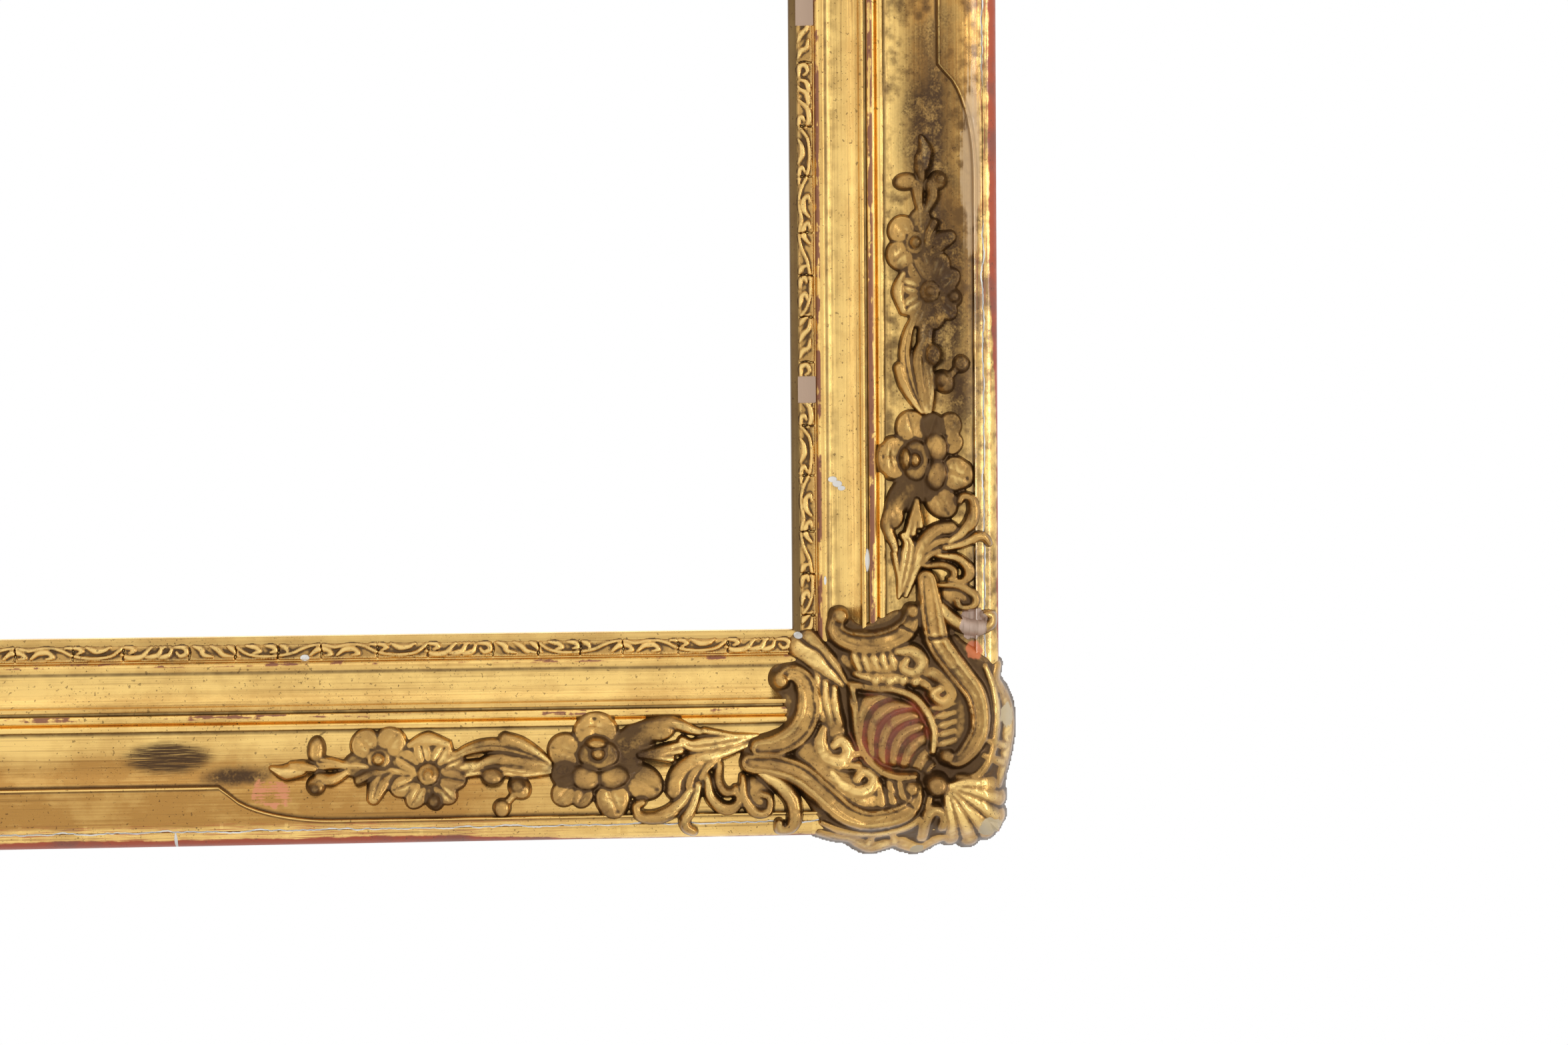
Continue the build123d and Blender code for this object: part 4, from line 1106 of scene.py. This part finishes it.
    # Wavy lip that overhangs the outer edge
    right_lip = [(1, 91), (2.5, 83), (-2, 75), (-5, 66), (-5.5, 56), (-4, 45), (-1.5, 34), (1, 26)]
    stroke(right_lip, [3, 3.6, 4.4, 4.8, 5, 4.8, 4.2, 3], 3.4, 0.8, patina_and_shade=[0.3, 0.2, 0.0, 0.0, 0.3])
    lower_lip = [
        (99, 2), (89, -0.5), (80, -2), (70, -7.5), (62, -6),
        (56, -4.5), (49, -7), (43, -8), (36, -4.5), (29, -2),
    ]
    stroke(lower_lip, [2.6, 3.4, 3.8, 4.8, 4.6, 4.2, 4.6, 4.6, 4, 3], 3.4, 0.8, patina_and_shade=[0.3, 0.1, 0.2])
    for start, end in (((8, 51), (-3, 47)), ((10, 43), (-2, 38)), ((69, 3), (71, -6)), ((60, 3), (57, -5))):
        stroke([start, end], [2.2, 3.6], [3, 3.2], 1.6, patina_and_shade=[0.35, 0.1])
    # Cracks through the casting
    corner.crack([(112, 111), (104, 103), (97, 99), (91, 91), (86, 85), (82, 78), (79, 70)])
    corner.crack([(54, 113), (46, 109), (38, 106), (31, 107), (24, 109)])
    corner.crack([(62, 25), (54, 19), (48, 15), (43, 9)], 0.4, 1.6)
    return corner.finish(0.6)


def casting(name, relief, place, back, node):
    """Closed casting with the relief as its front and a flat back."""
    shape, (wear_highlight_and_shade,), cells = sheet(*relief.front.shape, "wear_highlight_and_shade")
    kept = set()
    for vert, column, row in cells:
        cell = (column, row)
        if relief.kept[cell]:
            kept.add(vert)
        vert.co = place(relief.run[cell], relief.rise[cell], relief.front[cell])
        vert[wear_highlight_and_shade] = relief.wear_highlight_and_shade[cell]
    spare = [face for face in shape.faces if not any(vert in kept for vert in face.verts)]
    bmesh.ops.delete(shape, geom=spare, context="FACES")
    close_back(shape, back)
    bmesh.ops.recalc_face_normals(shape, faces=shape.faces)
    finished(name, shape, [cast_gilding], "gilded_composition", node, sharp=75)


def on_level_arm(across, upward):
    def place(run, rise, height):
        return (across * (OUTER_X - run) * MM, -height * MM, upward * (OUTER_Z - rise) * MM)
    return place


# Change of a spray on an upright, which grows over this stretch of its run
UPRIGHT_FROM = 110.0
UPRIGHT_OVER = 90.0
UPRIGHT_SHIFT = 15.0
UPRIGHT_SLIM = 0.10
SPRAY_MIDDLE = 38.0


def on_upright_arm(across, upward):
    """The uprights carry the same sprays, a little slimmer and set nearer to the corner."""
    def place(run, rise, height):
        share = min(max((run - UPRIGHT_FROM) / UPRIGHT_OVER, 0.0), 1.0)
        slim = SPRAY_MIDDLE + (rise - SPRAY_MIDDLE) * (1.0 - UPRIGHT_SLIM * share)
        level = OUTER_Z - run + UPRIGHT_SHIFT * share
        return (across * (OUTER_X - slim) * MM, -height * MM, upward * level * MM)
    return place


bouquet = draw_bouquet()
garland = draw_garland()
cartouche = draw_cartouche()
SPRAY_BACK = 36.0
CARTOUCHE_BACK = 20.0
for level, upward in (("bottom", -1), ("top", 1)):
    for flank, across in (("right", 1), ("left", -1)):
        flat = on_level_arm(across, upward)
        steep = on_upright_arm(across, upward)
        corner_name = f"cartouche_{level}_{flank}"
        casting(f"{corner_name}_gilded", cartouche, flat, CARTOUCHE_BACK, corner_name)
        for kind, relief in (("bouquet", bouquet), ("garland", garland)):
            level_name = f"{kind}_{level}_near_{flank}"
            steep_name = f"{kind}_{flank}_near_{level}"
            casting(f"{level_name}_gilded", relief, flat, SPRAY_BACK, level_name)
            casting(f"{steep_name}_gilded", relief, steep, SPRAY_BACK, steep_name)


# Pressed strip along the sight edge: one repeat, drawn in place on the bottom rail
STRIP_REPEAT = 162.0
STRIP_FIRST = 358.0
STRIP_INNER = 106.2
STRIP_OUTER = 97.2
STRIP_PITCH = 0.45
STRIP_CRACKS = (497.0, 470.0, 435.0, 410.5, 388.0, 365.0)
STRIP_LOSSES = {"right": ((-274.0, -259.5), (-70.0, -54.0))}
STRIP_LOSS_DEPTH = 1.2
STRIP_CROWN = 0.65
STRIP_GROUND = 0.9
STRIP_CRACK_HALF = 0.32
STRIP_EDGE = 0.9
STRIP_DROP = 1.6
STRIP_OVERRUN = 13.5
STRIP_FOOT = 26.0


def strip_bed(run, rise):
    stations, heights = zip(STRIP_BED_START, STRIP_BED_END)
    return np.interp(RAIL_WIDTH - rise, stations, heights)


def draw_strip():
    """Running scroll with curled leaves, a lobed scroll motif and a row of small beads."""
    runs = (STRIP_FIRST, STRIP_FIRST + STRIP_REPEAT)
    strip = Relief(runs, (STRIP_OUTER, STRIP_INNER), STRIP_PITCH, strip_bed)
    strip.height[:] = STRIP_GROUND
    strip.crown[:] = STRIP_CROWN
    runners = [
        [
            (520, 104), (511, 105.8), (503, 104), (497, 101.2),
            (488, 99.8), (478, 100.4), (473, 103), (470, 105.8),
        ],
        [
            (410, 104.6), (405, 101.4), (398, 99.8), (388, 100),
            (380, 101.4), (374, 104), (366, 105.8), (358, 104),
        ],
    ]
    curls = [
        [(519, 100), (515, 103), (510, 103), (507.5, 100.5), (511, 99.8)],
        [(501, 105.6), (495, 105.6), (492, 103.6), (494.5, 102.4)],
        [(490, 105.8), (485, 103.6), (480, 104), (477, 105.8)],
        [(470, 105.6), (466, 105.4), (464.5, 103.4), (466.8, 102.4)],
        [(471, 101.6), (467, 99.8), (460.5, 100.4), (457.5, 103), (455, 105.6)],
        [(458, 100), (452, 101), (450, 104), (448, 105.8)],
        [(451, 99.8), (446, 101), (444.5, 104.4)],
        [(443, 105.2), (438, 105), (436.5, 102), (440, 100.4), (442, 102.4)],
        [(433, 105.6), (429, 104), (427.5, 101), (423, 99.9)],
        [(424, 105.6), (420, 103.6), (417, 100.8), (412, 99.8)],
        [(415, 105.4), (412, 103.6), (409, 100)],
        [(405, 105.6), (400, 104.6), (398, 102.4), (401, 101.6)],
        [(395, 105.4), (391, 105), (389, 102.8), (392, 101.8)],
        [(387, 105.6), (384, 104.2), (383, 102)],
        [(371, 100), (367, 103), (362, 103), (359.5, 100.5), (363, 99.8)],
    ]
    for lap in (-STRIP_REPEAT, 0.0, STRIP_REPEAT):
        for points in runners:
            strip.stroke([(run + lap, rise) for run, rise in points], 1.05, 1.3, 0.9)
        for points in curls:
            strip.stroke([(run + lap, rise) for run, rise in points], [1.0, 1.9, 1.6, 0.9], 1.4, 0.8)
        for run in (453, 450.5, 448, 445.5):
            strip.dome((run + lap, 105.6), (1.0, 0.9), 1.2, 1.0)
    for run in np.arange(STRIP_FIRST, STRIP_FIRST + STRIP_REPEAT + 1.0, 1.5):
        strip.dome((run, 98.3), (0.62, 0.6), 0.7, 0.8)
    for run in STRIP_CRACKS:
        away = strip.run - run + 0.3 * np.sin(strip.rise)
        strip.height -= STRIP_DROP * np.exp(-((away / STRIP_CRACK_HALF) ** 2))
    edge = np.minimum(strip.rise - STRIP_OUTER, STRIP_INNER - strip.rise)
    strip.height -= STRIP_DROP * np.clip(1.0 - edge / STRIP_EDGE, 0.0, 1.0) ** 2
    return strip.finish(0.22)


def sight_strip(side, strip):
    """Repeats the pressed pattern along one rail and mitres it."""
    half = half_sight(side)
    half_outer = half + RAIL_WIDTH
    count = strip.front.shape[0] - 1
    length = 2.0 * (half + STRIP_OVERRUN)
    columns = int(length / STRIP_PITCH) + 1
    shape, (wear_highlight_and_shade, loss), cells = sheet(columns, strip.front.shape[1], "wear_highlight_and_shade", "loss")
    for vert, _, row in cells:
        along = vert.co.x * length
        share = (half_outer - along - STRIP_FIRST) / STRIP_REPEAT % 1.0
        cell = (int(share * count), row)
        lost = any(low < along < high for low, high in STRIP_LOSSES.get(side, ()))
        height = strip.bed[cell] + STRIP_LOSS_DEPTH if lost else strip.front[cell]
        vert.co = at_side(side, along, RAIL_WIDTH - strip.rise[cell], height)
        vert[wear_highlight_and_shade] = 0.0 if lost else strip.wear_highlight_and_shade[cell]
        vert[loss] = float(lost)
    close_back(shape, STRIP_FOOT)
    for end in (1, -1):
        reach = at_side(side, end * half, 0.0, 0.0)
        lean = np.array(at_side(side, end, -1.0, 0.0)) - np.array(at_side(side, 0.0, 0.0, 0.0))
        whole = [*shape.verts, *shape.edges, *shape.faces]
        cut = bmesh.ops.bisect_plane(shape, geom=whole, plane_co=reach, plane_no=lean, clear_outer=True)
        rim = [part for part in cut["geom_cut"] if isinstance(part, bmesh.types.BMEdge)]
        bmesh.ops.holes_fill(shape, edges=rim, sides=0)
    bmesh.ops.recalc_face_normals(shape, faces=shape.faces)
    name = f"sight_strip_{side}"
    finished(f"{name}_gilded", shape, [cast_gilding], "gilded_composition", name, sharp=75)


pressed_strip = draw_strip()
for side in SIDES:
    sight_strip(side, pressed_strip)


# Hardware at the back keeps its own shapes
def finish_of(node):
    if node.startswith("mitre_key"):
        return key_wood
    if node.startswith(("hanger", "hanging")):
        return aged_steel
    return aged_brass


for node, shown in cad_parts.items():
    if not shown.hide_render:
        shown.data.materials.clear()
        shown.data.materials.append(finish_of(node))


# Camera at the photograph's viewing angle
IMAGE_WIDTH = 2352
FOCAL_PIXELS = 4700.0
CAMERA_SPOT = (348.348, -1724.727, -275.078)
CAMERA_PITCH = 0.036697
CAMERA_ROLL = -0.010426
CAMERA_YAW = 0.0818584

lens = bpy.data.cameras.new("viewpoint")
lens.sensor_fit = "HORIZONTAL"
lens.sensor_width = 36.0
lens.lens = lens.sensor_width * FOCAL_PIXELS / IMAGE_WIDTH
viewpoint = bpy.data.objects.new("viewpoint", lens)
bpy.context.collection.objects.link(viewpoint)
yaw = Matrix.Rotation(CAMERA_YAW, 3, "Z")
roll = Matrix.Rotation(CAMERA_ROLL, 3, "Y")
pitch = Matrix.Rotation(CAMERA_PITCH, 3, "X")
turn = yaw @ roll @ pitch
axes = Matrix((turn[0], turn[2], -turn[1])).transposed()
viewpoint.matrix_world = Matrix.Translation([value * MM for value in CAMERA_SPOT]) @ axes.to_4x4()
bpy.context.scene.camera = viewpoint

# The room is white to the camera and in the metal; its light comes from all sides, most from the front
ROOM_FRONT = (0.96, 0.955, 0.95, 1)
ROOM_SIDE = (0.36, 0.355, 0.345, 1)
ROOM_WHITE = (1.0, 1.0, 1.0, 1)


class Room(Paint):
    """The world's own nodes, mixed in the same way as a finish."""

    def __init__(self, name):
        self.world = bpy.data.worlds.new(name)
        self.world.use_nodes = True
        self.tree = self.world.node_tree
        self.tree.nodes.clear()


room = Room("room")
ray = room.node("ShaderNodeTexCoord", output="Generated")
depth = abs(room.node("ShaderNodeSeparateXYZ", {}, {"Vector": ray}, "Y"))
lit = room.mix(depth.between(0.93, 0.50), ROOM_FRONT, ROOM_SIDE)
white_rays = ("Is Camera Ray", "Is Glossy Ray", "Is Transmission Ray")
white = strongest([room.node("ShaderNodeLightPath", output=kind) for kind in white_rays])
seen = room.mix(white, lit, ROOM_WHITE)
glow = room.node("ShaderNodeBackground", {}, {"Color": seen})
room.node("ShaderNodeOutputWorld", {}, {"Surface": glow})
bpy.context.scene.world = room.world


def softbox(name, spot, aim, size, power):
    lamp = bpy.data.lights.new(name, "AREA")
    lamp.shape = "RECTANGLE"
    lamp.size, lamp.size_y = size
    lamp.energy = power
    box = bpy.data.objects.new(name, lamp)
    bpy.context.collection.objects.link(box)
    line = Vector(spot) - Vector(aim)
    box.matrix_world = Matrix.Translation(spot) @ line.to_track_quat("Z", "Y").to_matrix().to_4x4()
    box.visible_camera = False


CORNER = (0.4, 0.0, -0.4)
softbox("left_softbox", (-1.7, -1.3, 0.1), CORNER, (1.0, 1.6), 2.5)
softbox("right_softbox", (2.1, -0.8, -0.1), CORNER, (0.25, 1.8), 8.0)
softbox("window", (1.45, -2.2, 0.0), CORNER, (0.10, 1.6), 4.5)
softbox("upper_softbox", (0.3, -1.2, 1.7), CORNER, (2.4, 1.0), 2.5)
softbox("rear_softbox", (0.0, 2.4, 1.6), (0.0, 0.0, 0.0), (2.0, 2.0), 18.0)

bpy.context.scene.view_settings.view_transform = "Standard"
